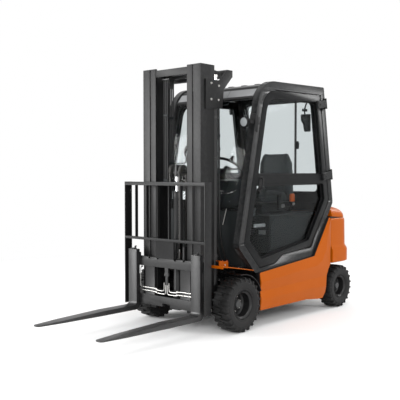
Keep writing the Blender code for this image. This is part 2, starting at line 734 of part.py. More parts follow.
def make_axles():
    hub_x = FRONT_TYRE_X - 0.020 - RUN_GAP
    axle = rod((-0.372, 0, FRONT_AXLE_Z), (0.372, 0, FRONT_AXLE_Z), AXLE_TUBE_RADIUS)
    pieces = [box((-0.225, -0.038, 0.110), (0.225, 0.130, 0.3296))]
    for side in (-1, 1):
        pieces.append(rod((side * 0.368, 0, FRONT_AXLE_Z), (side * hub_x, 0, FRONT_AXLE_Z), 0.074))
    fuse(axle, *pieces)
    finish(axle, "drive_axle", CHASSIS_BLACK, truck)

    z = REAR_AXLE_Z
    y = WHEELBASE
    barrel = 0.048
    beam = box((-0.318, y - 0.040, z - barrel), (0.318, y + 0.040, z + barrel))
    extra = [box((-0.120, y - 0.045, z - 0.055), (0.120, y + 0.045, 0.278))]
    for side in (-1, 1):
        for low in (z - barrel - 0.026, z + barrel + 0.001):
            extra.append(side_box((0.270, KINGPIN_X + 0.026), (y - 0.028, y + 0.028), (low, low + 0.025), side))
        for low in (z - barrel - 0.026, z + barrel - 0.005):
            extra.append(side_box((0.270, 0.318), (y - 0.036, y + 0.036), (low, low + 0.031), side))
    fuse(beam, *extra)
    finish(beam, "steer_axle", CHASSIS_BLACK, truck)
    pivots = {}
    for name, side in SIDES:
        kingpin = (side * KINGPIN_X, y, z)
        pivots[name] = joint_empty(f"kingpin_{name}", kingpin, truck)
        knuckle = rod((kingpin[0], y, z - barrel), (kingpin[0], y, z + barrel + 0.0005), 0.031)
        spindle_end = side * (REAR_TYRE_X - 0.020 - RUN_GAP)
        spindle = rod((kingpin[0], y, z), (spindle_end, y, z), 0.026)
        flange = rod((side * (KINGPIN_X + 0.050), y, z), (spindle_end, y, z), 0.050)
        fuse(knuckle, spindle, flange)
        finish(knuckle, f"knuckle_{name}", CHASSIS_BLACK, pivots[name])
    return pivots


def make_wheel(where, name, side, x, y, z, radius, width, parent):
    """A solid tyre on a dished rim, both turned about the axle. Their outer sides point away from the truck."""
    pivot = joint_empty(f"{where}_wheel_{name}_axis", (side * x, y, z), parent)
    rim = radius * RIM_SHARE
    half = width / 2
    seat = rim / FLAT + SEAT_GAP
    tyre_profile = [
        (seat, half - 0.016), (seat + 0.014, half - 0.004), (radius * 0.80, half), (radius - 0.026, half - 0.004),
        (radius, half - 0.026), (radius, 0.026 - half), (radius - 0.026, 0.004 - half), (radius * 0.80, -half),
        (seat + 0.014, 0.004 - half), (seat, 0.016 - half), (seat, half - 0.016),
    ]
    tyre = turned(tyre_profile, (side * x, y, z), "X", side, TYRE_SIDES)
    finish(tyre, f"tyre_{where}_{name}", RUBBER, pivot, smooth=True)
    dish = -0.004
    rim_profile = [
        (0.0, dish + 0.030), (0.030, dish + 0.030), (0.036, dish + 0.022), (0.036, dish + 0.004),
        (rim * 0.74, dish), (rim * 0.88, half - 0.024), (rim, half - 0.016), (rim, 0.016 - half),
        (rim * 0.88, 0.018 - half), (rim * 0.84, -0.020), (0.0, -0.020),
    ]
    wheel = turned(rim_profile, (side * x, y, z), "X", side, ROUND_SIDES)
    finish(wheel, f"rim_{where}_{name}", RIM_BLACK, pivot, smooth=True)


def channel(xs, side, low, high):
    """A mast rail: a channel that opens inwards, flanges front and rear and its web on the outer side."""
    inner, outer = xs
    front = MAST_FRONT_Y
    back = RAIL_BACK_Y
    web = outer - RAIL_WALL * 0.85
    corners = [
        (inner, front), (outer, front), (outer, back), (inner, back),
        (inner, back - RAIL_WALL), (web, back - RAIL_WALL), (web, front + RAIL_WALL), (inner, front + RAIL_WALL),
    ]
    return plate([[Vector((side * u, v)) for u, v in corners]], "XY", low, high)


def make_outer_mast():
    left = channel(OUTER_RAIL_X, 1, MAST_BOTTOM, MAST_HEIGHT)
    extra = [channel(OUTER_RAIL_X, -1, MAST_BOTTOM, MAST_HEIGHT)]
    inner, outer = OUTER_RAIL_X
    cross_front = RAIL_BACK_Y + 0.015
    cross_back = cross_front + 0.040
    cross_low, cross_high = 0.300, 0.375
    barrel_side = LIFT_BARREL_X - LIFT_BARREL_RADIUS - CLEAR
    extra.append(box((-outer, cross_front, cross_low), (outer, cross_back, cross_high)))
    extra.append(box((-barrel_side, cross_front, 1.000), (barrel_side, cross_back, 1.075)))
    beam_y = 0.030
    beam_z = MAST_HEIGHT - 0.080
    extra.append(box((-outer - 0.014, beam_y, beam_z), (outer + 0.014, beam_y + 0.070, beam_z + 0.057)))
    for _, side in SIDES:
        weld = (RAIL_BACK_Y - 0.010, cross_front + 0.020)
        extra.append(side_box((inner + 0.004, outer), weld, (cross_low, cross_high), side))
        extra.append(side_box((inner + 0.001, barrel_side), weld, (1.000, 1.075), side))
        low, high = spread((outer - 0.002, outer + 0.014), side)
        bracket = rounded([
            (-0.235, beam_z - 0.280, 0.0), (-0.030, beam_z - 0.265, 0.0), (-0.012, beam_z - 0.110, 0.0),
            (0.095, beam_z, 0.0), (0.095, beam_z + 0.055, 0.0), (0.030, beam_z + 0.055, 0.0),
            (-0.060, beam_z - 0.040, 0.0), (-0.235, beam_z - 0.040, 0.0),
        ])
        extra.append(plate([bracket], "YZ", low, high))
        foot = rounded([
            (RAIL_BACK_Y - 0.012, MAST_BOTTOM + 0.020, 0.0), (0.020, FRONT_AXLE_Z - 0.085, 0.06),
            (0.088, FRONT_AXLE_Z, 0.06), (0.020, FRONT_AXLE_Z + 0.085, 0.06), (RAIL_BACK_Y - 0.012, 0.340, 0.0),
        ])
        low, high = spread((outer - 0.060, outer - 0.005), side)
        extra.append(plate([foot], "YZ", low, high))
        x, y, z = TILT_PIN
        for lug in (x - 0.027, x + 0.017):
            extra.append(side_box((lug, lug + 0.010), (cross_back - 0.008, y + 0.015), (z - 0.070, cross_high - 0.001),
                                  side))
            extra.append(side_box((lug, lug + 0.010), (y - 0.018, y + 0.015), (z - 0.060, z + 0.022), side))
        extra.append(rod((side * (x - 0.022), y, z), (side * (x + 0.022), y, z), TILT_PIN_RADIUS, 12))
    fuse(left, *extra)
    carve(left, rod((-0.36, 0, FRONT_AXLE_Z), (0.36, 0, FRONT_AXLE_Z), AXLE_TUBE_RADIUS + RUN_GAP))
    finish(left, "mast_outer", MAST_GREY, tilt_axis)
    base = cross_high + SEAT_GAP
    bore = LIFT_BARREL_RADIUS - 0.007
    barrel_top = MAST_HEIGHT - LIFT_BARREL_GAP
    for name, side in SIDES:
        profile = [
            (bore, barrel_top), (LIFT_BARREL_RADIUS, barrel_top), (LIFT_BARREL_RADIUS, base), (0.0, base),
            (0.0, base + 0.015), (bore, base + 0.015), (bore, barrel_top),
        ]
        barrel = turned(profile, (side * LIFT_BARREL_X, LIFT_BARREL_Y, 0), "Z")
        finish(barrel, f"lift_barrel_{name}", MAST_GREY, tilt_axis, smooth=True)


def make_inner_mast():
    low = MAST_BOTTOM + 0.004
    left = channel(INNER_RAIL_X, 1, low, MAST_HEIGHT)
    inner, outer = INNER_RAIL_X
    extra = [channel(INNER_RAIL_X, -1, low, MAST_HEIGHT)]
    tie_back = RAIL_BACK_Y + 0.007
    tie_front = RAIL_BACK_Y - 0.012
    for z, high in ((low, low + 0.060), (1.150, 1.210), (MAST_HEIGHT - 0.075, MAST_HEIGHT - 0.010)):
        extra.append(box((-outer, tie_front, z), (outer, tie_back, high)))
    top = MAST_HEIGHT - 0.040
    extra.append(box((-0.322, tie_back - 0.0015, top - 0.030), (0.322, LIFT_BARREL_Y + 0.030, top)))
    extra.append(box((-inner - 0.01, MAST_FRONT_Y + 0.004, MAST_HEIGHT - 0.072),
                     (inner + 0.01, MAST_FRONT_Y + 0.060, MAST_HEIGHT - 0.014)))
    extra.append(box((-0.055, -0.245, low), (0.055, tie_front + 0.004, low + 0.030)))
    gap = OUTER_RAIL_X[1] - RAIL_WALL * 0.85 - RUN_GAP
    for _, side in SIDES:
        extra.append(rod((side * (outer - 0.004), ROLLER_Y, 0.360), (side * gap, ROLLER_Y, 0.360), ROLLER_RADIUS))
    fuse(left, *extra)
    finish(left, "mast_inner", MAST_GREY, mast_slide)
    stem_top = top - 0.030 - SEAT_GAP
    for name, side in SIDES:
        x = side * LIFT_BARREL_X
        stem_radius = LIFT_BARREL_RADIUS - 0.007 - RUN_GAP
        stem = rod((x, LIFT_BARREL_Y, 0.400), (x, LIFT_BARREL_Y, stem_top), stem_radius)
        finish(stem, f"lift_rod_{name}", CHROME, mast_slide, smooth=True)
    base = low + 0.030 + SEAT_GAP
    profile = [
        (0.0240, FREE_BARREL_TOP), (0.040, FREE_BARREL_TOP), (0.040, base), (0.0, base), (0.0, base + 0.015),
        (0.0240, base + 0.015), (0.0240, FREE_BARREL_TOP),
    ]
    barrel = turned(profile, (0, ROLLER_Y, 0), "Z")
    finish(barrel, "free_lift_barrel", MAST_GREY, mast_slide, smooth=True)
    ram_slide = joint_empty("free_lift_slide", (0, ROLLER_Y, FREE_BARREL_TOP), mast_slide)
    ram = rod((0, ROLLER_Y, 0.270), (0, ROLLER_Y, CROSSHEAD_TOP - 0.050), 0.0240 - RUN_GAP)
    head = box((-0.085, ROLLER_Y - 0.030, CROSSHEAD_TOP - 0.075), (0.085, ROLLER_Y + 0.030, CROSSHEAD_TOP - 0.020))
    wheels = [
        rod((x, ROLLER_Y, CROSSHEAD_TOP - 0.045), (x + 0.028, ROLLER_Y, CROSSHEAD_TOP - 0.045), 0.045)
        for x in (-0.070, 0.042)
    ]
    fuse(ram, head, *wheels)
    finish(ram, "free_lift_ram", CHROME, ram_slide)


def make_carriage():
    plates = []
    gap = INNER_RAIL_X[1] - RAIL_WALL * 0.85 - RUN_GAP
    back = -0.168
    for _, side in SIDES:
        plates.append(side_box((0.145, 0.168), (CARRIAGE_FRONT_Y, back), (0.205, 0.700), side))
        for z in (0.300, 0.620):
            plates.append(rod((side * 0.150, ROLLER_Y, z), (side * gap, ROLLER_Y, z), ROLLER_RADIUS))
    for low, high in (UPPER_BAR, LOWER_BAR):
        plates.append(box((-0.168, CARRIAGE_FRONT_Y, low + 0.008), (0.168, CARRIAGE_FRONT_Y + 0.030, high - 0.008)))
    fuse(plates[0], *plates[1:])
    finish(plates[0], "carriage", MAST_GREY, carriage_slide)

    half = CARRIAGE_HALF_WIDTH
    frame = box((-half, BAR_FRONT_Y, UPPER_BAR[0]), (half, BAR_BACK_Y, UPPER_BAR[1]))
    lower = box((-half, BAR_FRONT_Y, LOWER_BAR[0]), (half, BAR_BACK_Y, LOWER_BAR[1]))
    struts = [
        side_box((0.148, 0.262), (BAR_FRONT_Y + 0.012, BAR_BACK_Y), (LOWER_BAR[1] - 0.010, UPPER_BAR[0] + 0.010), side)
        for _, side in SIDES
    ]
    fuse(frame, lower, *struts)
    notches = [
        box((i * 0.100 - 0.009, BAR_FRONT_Y - 0.01, UPPER_BAR[1] - 0.014),
            (i * 0.100 + 0.009, BAR_BACK_Y + 0.01, UPPER_BAR[1] + 0.01))
        for i in (-4, -3, -2, -1, 1, 2, 3, 4)
    ]
    carve(frame, *notches, box((-0.045, BAR_FRONT_Y - 0.01, LOWER_BAR[0] - 0.01),
                               (0.045, BAR_BACK_Y + 0.01, LOWER_BAR[0] + 0.026)))
    finish(frame, "side_shift_frame", MAST_GREY, shift_slide)


def make_backrest():
    half = CARRIAGE_HALF_WIDTH + SEAT_GAP
    front = FORK_FACE_Y
    back = FORK_FACE_Y + 0.030
    bar = 0.008
    outer = half + bar
    rest = box((-outer, front, BACKREST_TOP - 0.030), (outer, back, BACKREST_TOP))
    pieces = [box((-outer, front, BACKREST_CROSS), (outer, back, BACKREST_CROSS + 0.022))]
    for i in range(BACKREST_BARS):
        x = -half - bar / 2 + (2 * half + bar) * i / (BACKREST_BARS - 1)
        low = BACKREST_CROSS
        depth = back
        if i in (0, BACKREST_BARS - 1):
            low = LOWER_BAR[0] - 0.010
            depth = BAR_BACK_Y
        pieces.append(box((x - bar / 2, front, low), (x + bar / 2, depth, BACKREST_TOP)))
    pieces.append(box((-0.105, back - 0.010, UPPER_BAR[1] + SEAT_GAP), (0.105, back + 0.004, BACKREST_CROSS + 0.01)))
    fuse(rest, *pieces)
    finish(rest, "load_backrest", MAST_GREY, shift_slide)


def make_forks():
    low = FORK_GROUND_GAP
    thick = FORK_THICKNESS
    back = FORK_FACE_Y + thick
    tip = FORK_FACE_Y - FORK_LENGTH
    shank_top = UPPER_BAR[1] + 0.060
    side_view = rounded([
        (back, shank_top, 0.006),
        (FORK_FACE_Y, shank_top, 0.006),
        (FORK_FACE_Y, low + thick, 0.030),
        (FORK_FACE_Y - 0.35, low + thick, 0.0),
        (tip, low + 0.016, 0.0),
        (tip, low + 0.006, 0.0),
        (FORK_FACE_Y - 0.35, low, 0.0),
        (back, low, 0.045),
    ], 5)
    for name, side in SIDES:
        x = side * FORK_CENTRE_X
        half = FORK_WIDTH / 2
        pivot = joint_empty(f"fork_{name}_slide", (x, BAR_FRONT_Y, UPPER_BAR[1]), shift_slide)
        fork = plate([side_view], "YZ", x - half, x + half)
        hooks = [
            box((x - half + 0.006, back - 0.002, UPPER_BAR[1] + SEAT_GAP), (x + half - 0.006, back + 0.022, shank_top - 0.030)),
            box((x - half + 0.006, back - 0.002, LOWER_BAR[0] - 0.026), (x + half - 0.006, back + 0.022,
                                                                         LOWER_BAR[0] - SEAT_GAP)),
        ]
        fuse(fork, *hooks)
        plan = rounded([
            (x - half - 0.01, back + 0.1, 0.0),
            (x - half - 0.01, tip + 0.400, 0.0),
            (x - half * 0.70, tip, 0.025),
            (x + half * 0.70, tip, 0.025),
            (x + half + 0.01, tip + 0.400, 0.0),
            (x + half + 0.01, back + 0.1, 0.0),
        ], 5)
        combine(fork, [plate([plan], "XY", 0.0, 1.0)], "INTERSECT")
        finish(fork, f"fork_{name}", FORK_BLACK, pivot)


def make_tilt_cylinders():
    """Two short cylinders. Each barrel swings on a chassis pin and its rod reaches the mast's pin."""
    for name, side in SIDES:
        trunnion = Vector(TILT_TRUNNION)
        pin = Vector(TILT_PIN)
        trunnion.x *= side
        pin.x *= side
        along = (pin - trunnion).normalized()
        across = Vector((1, 0, 0))
        barrel_pivot = joint_empty(f"tilt_barrel_{name}_axis", tuple(trunnion), truck)
        reach = (pin - trunnion).length
        end = trunnion + along * (reach - 0.070)
        barrel = rod(trunnion + along * 0.018, end, 0.029)
        eye = rod(trunnion - across * 0.0165, trunnion + across * 0.0165, 0.024)
        fuse(barrel, eye)
        carve(
            barrel,
            rod(trunnion - across * 0.05, trunnion + across * 0.05, TILT_PIN_RADIUS + RUN_GAP * 2, 12),
            rod(trunnion + along * 0.040, end + along * 0.05, 0.0165),
        )
        finish(barrel, f"tilt_barrel_{name}", CHASSIS_BLACK, barrel_pivot)
        slide = joint_empty(f"tilt_rod_{name}_slide", tuple(pin), barrel_pivot)
        stem = rod(trunnion + along * 0.072, pin - along * 0.014, 0.016)
        eye = rod(pin - across * 0.0160, pin + across * 0.0160, 0.0225)
        fuse(stem, eye)
        carve(stem, rod(pin - across * 0.05, pin + across * 0.05, TILT_PIN_RADIUS + PIN_DRIFT, 16))
        finish(stem, f"tilt_rod_{name}", CHROME, slide)


make_chassis()
make_front_fenders()
make_counterweight()
make_battery()
make_floor()
column_top, column_up = make_dash()
make_steering_wheel(column_top, column_up)
make_seat()
door_hole = make_cab()
make_doors(door_hole)
kingpins = make_axles()
for label, mirror in SIDES:
    make_wheel("front", label, mirror, FRONT_TYRE_X, 0.0, FRONT_AXLE_Z, FRONT_TYRE_RADIUS, FRONT_TYRE_WIDTH, truck)
    make_wheel("rear", label, mirror, REAR_TYRE_X, WHEELBASE, REAR_AXLE_Z, REAR_TYRE_RADIUS, REAR_TYRE_WIDTH,
               kingpins[label])
make_outer_mast()
make_inner_mast()
make_carriage()
make_backrest()
make_forks()
make_tilt_cylinders()
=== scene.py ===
import math
import random

import bmesh
import bpy
from mathutils import Matrix, Vector


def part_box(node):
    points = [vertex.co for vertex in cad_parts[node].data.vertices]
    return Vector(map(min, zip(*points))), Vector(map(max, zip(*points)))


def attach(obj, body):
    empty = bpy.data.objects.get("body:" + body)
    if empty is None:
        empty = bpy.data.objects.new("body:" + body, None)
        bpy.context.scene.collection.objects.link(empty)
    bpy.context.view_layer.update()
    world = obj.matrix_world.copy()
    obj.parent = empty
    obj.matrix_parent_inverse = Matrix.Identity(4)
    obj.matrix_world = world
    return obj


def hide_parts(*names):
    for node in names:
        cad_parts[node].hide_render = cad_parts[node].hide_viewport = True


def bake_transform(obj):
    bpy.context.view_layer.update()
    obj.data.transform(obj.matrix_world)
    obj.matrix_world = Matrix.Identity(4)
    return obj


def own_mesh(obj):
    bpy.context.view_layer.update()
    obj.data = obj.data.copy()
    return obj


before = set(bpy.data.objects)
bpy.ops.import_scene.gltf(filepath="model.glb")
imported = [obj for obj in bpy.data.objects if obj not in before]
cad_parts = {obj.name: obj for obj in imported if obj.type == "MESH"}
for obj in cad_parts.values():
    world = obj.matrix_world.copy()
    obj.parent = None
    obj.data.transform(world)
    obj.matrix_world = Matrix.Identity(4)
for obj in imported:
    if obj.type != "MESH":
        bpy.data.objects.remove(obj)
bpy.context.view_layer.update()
random.seed(18)

# everything below is measured from the front axle, as the truck's own drawings are
axleLow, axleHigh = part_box("tyre_front_left")
axleY = (axleLow.y + axleHigh.y) / 2
frontRadius = (axleHigh.y - axleLow.y) / 2
frontCentre = (axleLow + axleHigh) / 2
rearLow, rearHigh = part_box("tyre_rear_left")
rearRadius = (rearHigh.y - rearLow.y) / 2
rearCentre = (rearLow + rearHigh) / 2
print("frame loaded, front axle at", round(axleY, 4))


def at(x, y, z):
    return Vector((x, y + axleY, z))


# mesh helpers
def newPiece(name, verts, faces):
    mesh = bpy.data.meshes.new(name)
    mesh.from_pydata([tuple(v) for v in verts], [], faces)
    mesh.update()
    piece = bpy.data.objects.new(name, mesh)
    bpy.context.scene.collection.objects.link(piece)
    return piece


def fromBmesh(name, bm):
    mesh = bpy.data.meshes.new(name)
    bm.to_mesh(mesh)
    bm.free()
    piece = bpy.data.objects.new(name, mesh)
    bpy.context.scene.collection.objects.link(piece)
    return piece


def applyAll(piece):
    bpy.context.view_layer.update()
    seen = piece.evaluated_get(bpy.context.evaluated_depsgraph_get())
    mesh = bpy.data.meshes.new_from_object(seen)
    piece.modifiers.clear()
    piece.data = mesh
    return piece


def smoothShade(piece, angle=35):
    piece.data.shade_smooth()
    piece.data.set_sharp_from_angle(angle=math.radians(angle))
    return piece


def softenEdges(piece, width, segments=2, angle=30, weights=None):
    # rounds the edges with real geometry, weights picks a share of the width for each edge
    piece.data.shade_smooth()
    bevel = piece.modifiers.new("soften", "BEVEL")
    bevel.width = width
    bevel.segments = segments
    bevel.angle_limit = math.radians(angle)
    bevel.limit_method = "ANGLE"
    bevel.harden_normals = True
    bevel.use_clamp_overlap = True
    if weights:
        layer = piece.data.attributes.new("bevel_weight_edge", "FLOAT", "EDGE")
        verts = piece.data.vertices
        for edge in piece.data.edges:
            a, b = (verts[i].co for i in edge.vertices)
            layer.data[edge.index].value = weights(a, b)
        bevel.limit_method = "WEIGHT"
    return applyAll(piece)


def joined(name, pieces):
    # one piece out of several, which keep their own material slots
    bm = bmesh.new()
    looks = []
    for piece in pieces:
        start = len(bm.faces)
        mesh = piece.data
        mesh.transform(piece.matrix_world)
        bm.from_mesh(mesh)
        bm.faces.ensure_lookup_table()
        slots = [m for m in mesh.materials]
        for look in slots:
            if look not in looks:
                looks.append(look)
        for face in bm.faces[start:]:
            if slots:
                face.material_index = looks.index(slots[min(face.material_index, len(slots) - 1)])
    made = fromBmesh(name, bm)
    for look in looks:
        made.data.materials.append(look)
    for piece in pieces:
        bpy.data.objects.remove(piece)
    return made


def settle(piece, body, look=None, replaced=()):
    # gives a piece its finish, hangs it on its CAD body and says what it stands for
    if look is not None:
        piece.data.materials.clear()
        piece.data.materials.append(look)
    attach(piece, body)
    if replaced:
        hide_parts(*replaced)
    return piece


def block(low, high, soft=0.0, segments=2, name="block"):
    bm = bmesh.new()
    size = [b - a for a, b in zip(low, high)]
    centre = [(a + b) / 2 for a, b in zip(low, high)]
    bmesh.ops.create_cube(bm, size=1.0, matrix=Matrix.Translation(centre) @ Matrix.Diagonal((*size, 1.0)))
    piece = fromBmesh(name, bm)
    if soft:
        softenEdges(piece, soft, segments)
    return piece


def bar(start, end, radius, sides=24, soft=0.0, name="bar"):
    start, end = Vector(start), Vector(end)
    along = end - start
    bm = bmesh.new()
    turn = along.to_track_quat("Z", "Y").to_matrix().to_4x4()
    bmesh.ops.create_cone(bm, cap_ends=True, segments=sides, radius1=radius, radius2=radius, depth=along.length,
                          matrix=Matrix.Translation((start + end) / 2) @ turn)
    piece = fromBmesh(name, bm)
    if soft:
        softenEdges(piece, soft, 2)
    return smoothShade(piece)


def lathe(profile, centre, axis, sides=64, name="lathe"):
    # turns (radius, along) points about an axis through the centre
    turn = Vector(axis).to_track_quat("Z", "Y").to_matrix().to_4x4()
    place = Matrix.Translation(centre) @ turn
    verts, faces = [], []
    for radius, along in profile:
        for k in range(sides):
            angle = 2 * math.pi * k / sides
            verts.append(place @ Vector((radius * math.cos(angle), radius * math.sin(angle), along)))
    for i in range(len(profile) - 1):
        for k in range(sides):
            after = (k + 1) % sides
            faces.append((i * sides + k, i * sides + after, (i + 1) * sides + after, (i + 1) * sides + k))
    piece = newPiece(name, verts, faces)
    bm = bmesh.new()
    bm.from_mesh(piece.data)
    bmesh.ops.remove_doubles(bm, verts=bm.verts, dist=1e-6)
    bmesh.ops.recalc_face_normals(bm, faces=bm.faces)
    bm.to_mesh(piece.data)
    bm.free()
    return smoothShade(piece)


def roundCorners(corners, steps=4):
    # an outline from (u, v, radius) corners
    outline = []
    count = len(corners)
    for i, (u, v, radius) in enumerate(corners):
        here = Vector((u, v))
        if not radius:
            outline.append(here)
            continue
        back = (Vector(corners[i - 1][:2]) - here).normalized()
        ahead = (Vector(corners[(i + 1) % count][:2]) - here).normalized()
        half = back.angle(ahead) / 2
        middle = here + (back + ahead).normalized() * (radius / math.sin(half))
        first = here + back * (radius / math.tan(half)) - middle
        last = here + ahead * (radius / math.tan(half)) - middle
        sweep = first.angle_signed(last)
        for k in range(steps + 1):
            arm = first.copy()
            arm.rotate(Matrix.Rotation(-sweep * k / steps, 2))
            outline.append(middle + arm)
    return outline


def insetCorners(corners, by):
    # the same corners moved inwards, one distance for all sides or one for each
    count = len(corners)
    if not isinstance(by, (list, tuple)):
        by = [by] * count
    points = [Vector(corner[:2]) for corner in corners]
    area = sum(points[i - 1].cross(points[i]) for i in range(count))
    side = 1 if area > 0 else -1
    lines = []
    for i in range(count):
        along = (points[(i + 1) % count] - points[i]).normalized()
        normal = Vector((-along.y, along.x)) * side
        lines.append((points[i] + normal * by[i], along))
    moved = []
    for i in range(count):
        (p, d), (q, e) = lines[i - 1], lines[i]
        t = (q - p).cross(e) / d.cross(e)
        corner = p + d * t
        moved.append((corner.x, corner.y, max(corners[i][2] - min(by), 0.0)))
    return moved


def plate(outlines, plane, low, high, soft=0.0, segments=2, name="plate"):
    # a flat outline, with holes if there is more than one, filled from low to high
    curve = bpy.data.curves.new("outline", "CURVE")
    curve.dimensions = "2D"
    curve.fill_mode = "BOTH"
    curve.extrude = abs(high - low) / 2
    for outline in outlines:
        spline = curve.splines.new("POLY")
        spline.points.add(len(outline) - 1)
        for point, (u, v) in zip(spline.points, outline):
            point.co = (u, v, 0, 1)
        spline.use_cyclic_u = True
    guide = bpy.data.objects.new("outline", curve)
    bpy.context.scene.collection.objects.link(guide)
    bpy.context.view_layer.update()
    mesh = bpy.data.meshes.new_from_object(guide.evaluated_get(bpy.context.evaluated_depsgraph_get()))
    bpy.data.objects.remove(guide)
    turns = {
        "YZ": Matrix(((0, 0, 1, 0), (1, 0, 0, axleY), (0, 1, 0, 0), (0, 0, 0, 1))),
        "XZ": Matrix(((1, 0, 0, 0), (0, 0, -1, axleY), (0, 1, 0, 0), (0, 0, 0, 1))),
        "XY": Matrix.Translation((0, axleY, 0)),
    }
    middle = (low + high) / 2
    if plane == "XZ":
        middle = -middle
    bm = bmesh.new()
    bm.from_mesh(mesh)
    bmesh.ops.remove_doubles(bm, verts=bm.verts, dist=1e-5)
    bmesh.ops.transform(bm, matrix=turns[plane] @ Matrix.Translation((0, 0, middle)), verts=bm.verts)
    bmesh.ops.recalc_face_normals(bm, faces=bm.faces)
    if len(outlines) == 1:
        bmesh.ops.dissolve_limit(bm, angle_limit=0.01, verts=bm.verts, edges=bm.edges)
    piece = fromBmesh(name, bm)
    if soft:
        softenEdges(piece, soft, segments)
    return piece


def smoothPath(points, steps=8):
    # a curve through the points, with rounded turns
    points = [Vector(p) for p in points]
    ends = [points[0] * 2 - points[1]] + points + [points[-1] * 2 - points[-2]]
    path = []
    for i in range(1, len(ends) - 2):
        a, b, c, d = ends[i - 1:i + 3]
        for k in range(steps):
            t = k / steps
            path.append(0.5 * (2 * b + (c - a) * t + (2 * a - 5 * b + 4 * c - d) * t * t
                               + (3 * b - a - 3 * c + d) * t ** 3))
    return path + [points[-1]]


def tube(points, radius, sides=12, curved=True, closed=False, name="tube"):
    path = smoothPath(points) if curved else [Vector(p) for p in points]
    count = len(path)
    verts, faces = [], []
    side = None
    for i, here in enumerate(path):
        ahead = path[(i + 1) % count] if closed or i < count - 1 else here
        behind = path[i - 1] if closed or i else here
        along = (ahead - behind).normalized()
        if side is None:
            side = along.orthogonal().normalized()
        side = (side - along * side.dot(along)).normalized()
        across = along.cross(side)
        for k in range(sides):
            angle = 2 * math.pi * k / sides
            verts.append(here + (side * math.cos(angle) + across * math.sin(angle)) * radius)
    last = count if closed else count - 1
    for i in range(last):
        for k in range(sides):
            after = (k + 1) % sides
            i2 = (i + 1) % count
            faces.append((i * sides + k, i * sides + after, i2 * sides + after, i2 * sides + k))
    if not closed:
        faces.append(tuple(range(sides))[::-1])
        faces.append(tuple((count - 1) * sides + k for k in range(sides)))
    return smoothShade(newPiece(name, verts, faces))


def refine(node, width, segments=2, angle=30, weights=None, name=None):
    # a finer copy of a CAD node: coplanar facets merged and its edges rounded
    bm = bmesh.new()
    bm.from_mesh(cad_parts[node].data)
    bmesh.ops.remove_doubles(bm, verts=bm.verts, dist=1e-5)
    bmesh.ops.dissolve_limit(bm, angle_limit=math.radians(0.5), verts=bm.verts, edges=bm.edges)
    piece = fromBmesh(name or node + "_fine", bm)
    if width:
        softenEdges(piece, width, segments, angle, weights)
    return piece


def bolt(where, axis, radius=0.008, head=0.006, name="bolt"):
    # a hexagon head on a washer, with its top edge turned off
    axis = Vector(axis).normalized()
    where = Vector(where)
    washer = bar(where - axis * 0.001, where + axis * 0.0015, radius * 1.25, 20, 0.0004)
    hexHead = lathe([(0, 0.0014), (radius, 0.0014), (radius, head * 0.8), (radius * 0.86, head), (0, head)],
                    where, axis, 6)
    return joined(name, [washer, hexHead])


def twoSided(build):
    # runs a builder for the truck's left (+1) and right (-1) side
    return [build(name, side) for name, side in (("left", 1), ("right", -1))]


def spread(low, high, side):
    return sorted((low * side, high * side))


def sideBlock(xs, ys, zs, side, soft=0.002, segments=2):
    low, high = spread(xs[0], xs[1], side)
    return block(at(low, ys[0], zs[0]), at(high, ys[1], zs[1]), soft, segments)


# shared effects, built once as node groups
def effectGroup(name, inputs, outputs, build):
    group = bpy.data.node_groups.new(name, "ShaderNodeTree")
    for label, value in inputs.items():
        kind = "NodeSocketColor" if isinstance(value, tuple) else "NodeSocketFloat"
        socket = group.interface.new_socket(name=label, in_out="INPUT", socket_type=kind)
        socket.default_value = value
    for label, kind in outputs.items():
        group.interface.new_socket(name=label, in_out="OUTPUT", socket_type=kind)
    source = group.nodes.new("NodeGroupInput")
    result = group.nodes.new("NodeGroupOutput")
    build(group, source, result)
    return group


def mathNode(tree, operation, a, b=None, clamp=False):
    node = tree.nodes.new("ShaderNodeMath")
    node.operation = operation
    node.use_clamp = clamp
    for i, value in enumerate((a, b)):
        if value is None:
            continue
        if isinstance(value, (int, float)):
            node.inputs[i].default_value = value
        else:
            tree.links.new(value, node.inputs[i])
    return node.outputs[0]


def rangeNode(tree, value, low, high):
    node = tree.nodes.new("ShaderNodeMapRange")
    node.interpolation_type = "SMOOTHSTEP"
    node.inputs["From Min"].default_value = low
    node.inputs["From Max"].default_value = high
    tree.links.new(value, node.inputs["Value"])
    return node.outputs["Result"]


def noiseNode(tree, place, scale, detail=3.0, rough=0.55):
    node = tree.nodes.new("ShaderNodeTexNoise")
    node.inputs["Detail"].default_value = detail
    node.inputs["Roughness"].default_value = rough
    tree.links.new(place, node.inputs["Vector"])
    if isinstance(scale, (int, float)):
        node.inputs["Scale"].default_value = scale
    else:
        tree.links.new(scale, node.inputs["Scale"])
    return node.outputs["Fac"]


def buildGrain(tree, source, result):
    # Height is the fine skin of paint or plastic, Tone the slow change of shade over a panel
    place = tree.nodes.new("ShaderNodeTexCoord").outputs["Object"]
    fine = noiseNode(tree, place, source.outputs["Fine scale"], 2.0)
    slow = noiseNode(tree, place, source.outputs["Slow scale"], 3.0)
    tree.links.new(fine, result.inputs["Height"])
    tree.links.new(rangeNode(tree, slow, 0.3, 0.7), result.inputs["Tone"])


def buildDust(tree, source, result):
    # more near the ground, and in soft patches
    place = tree.nodes.new("ShaderNodeTexCoord").outputs["Object"]
    split = tree.nodes.new("ShaderNodeSeparateXYZ")
    tree.links.new(place, split.inputs[0])
    height = mathNode(tree, "DIVIDE", split.outputs["Z"], source.outputs["Reach"])
    low = mathNode(tree, "SUBTRACT", 1.0, height, clamp=True)
    patches = rangeNode(tree, noiseNode(tree, place, 9.0, 5.0, 0.62), 0.38, 0.72)
    both = mathNode(tree, "MULTIPLY", low, patches)
    tree.links.new(mathNode(tree, "MULTIPLY", both, source.outputs["Amount"], clamp=True), result.inputs["Mask"])


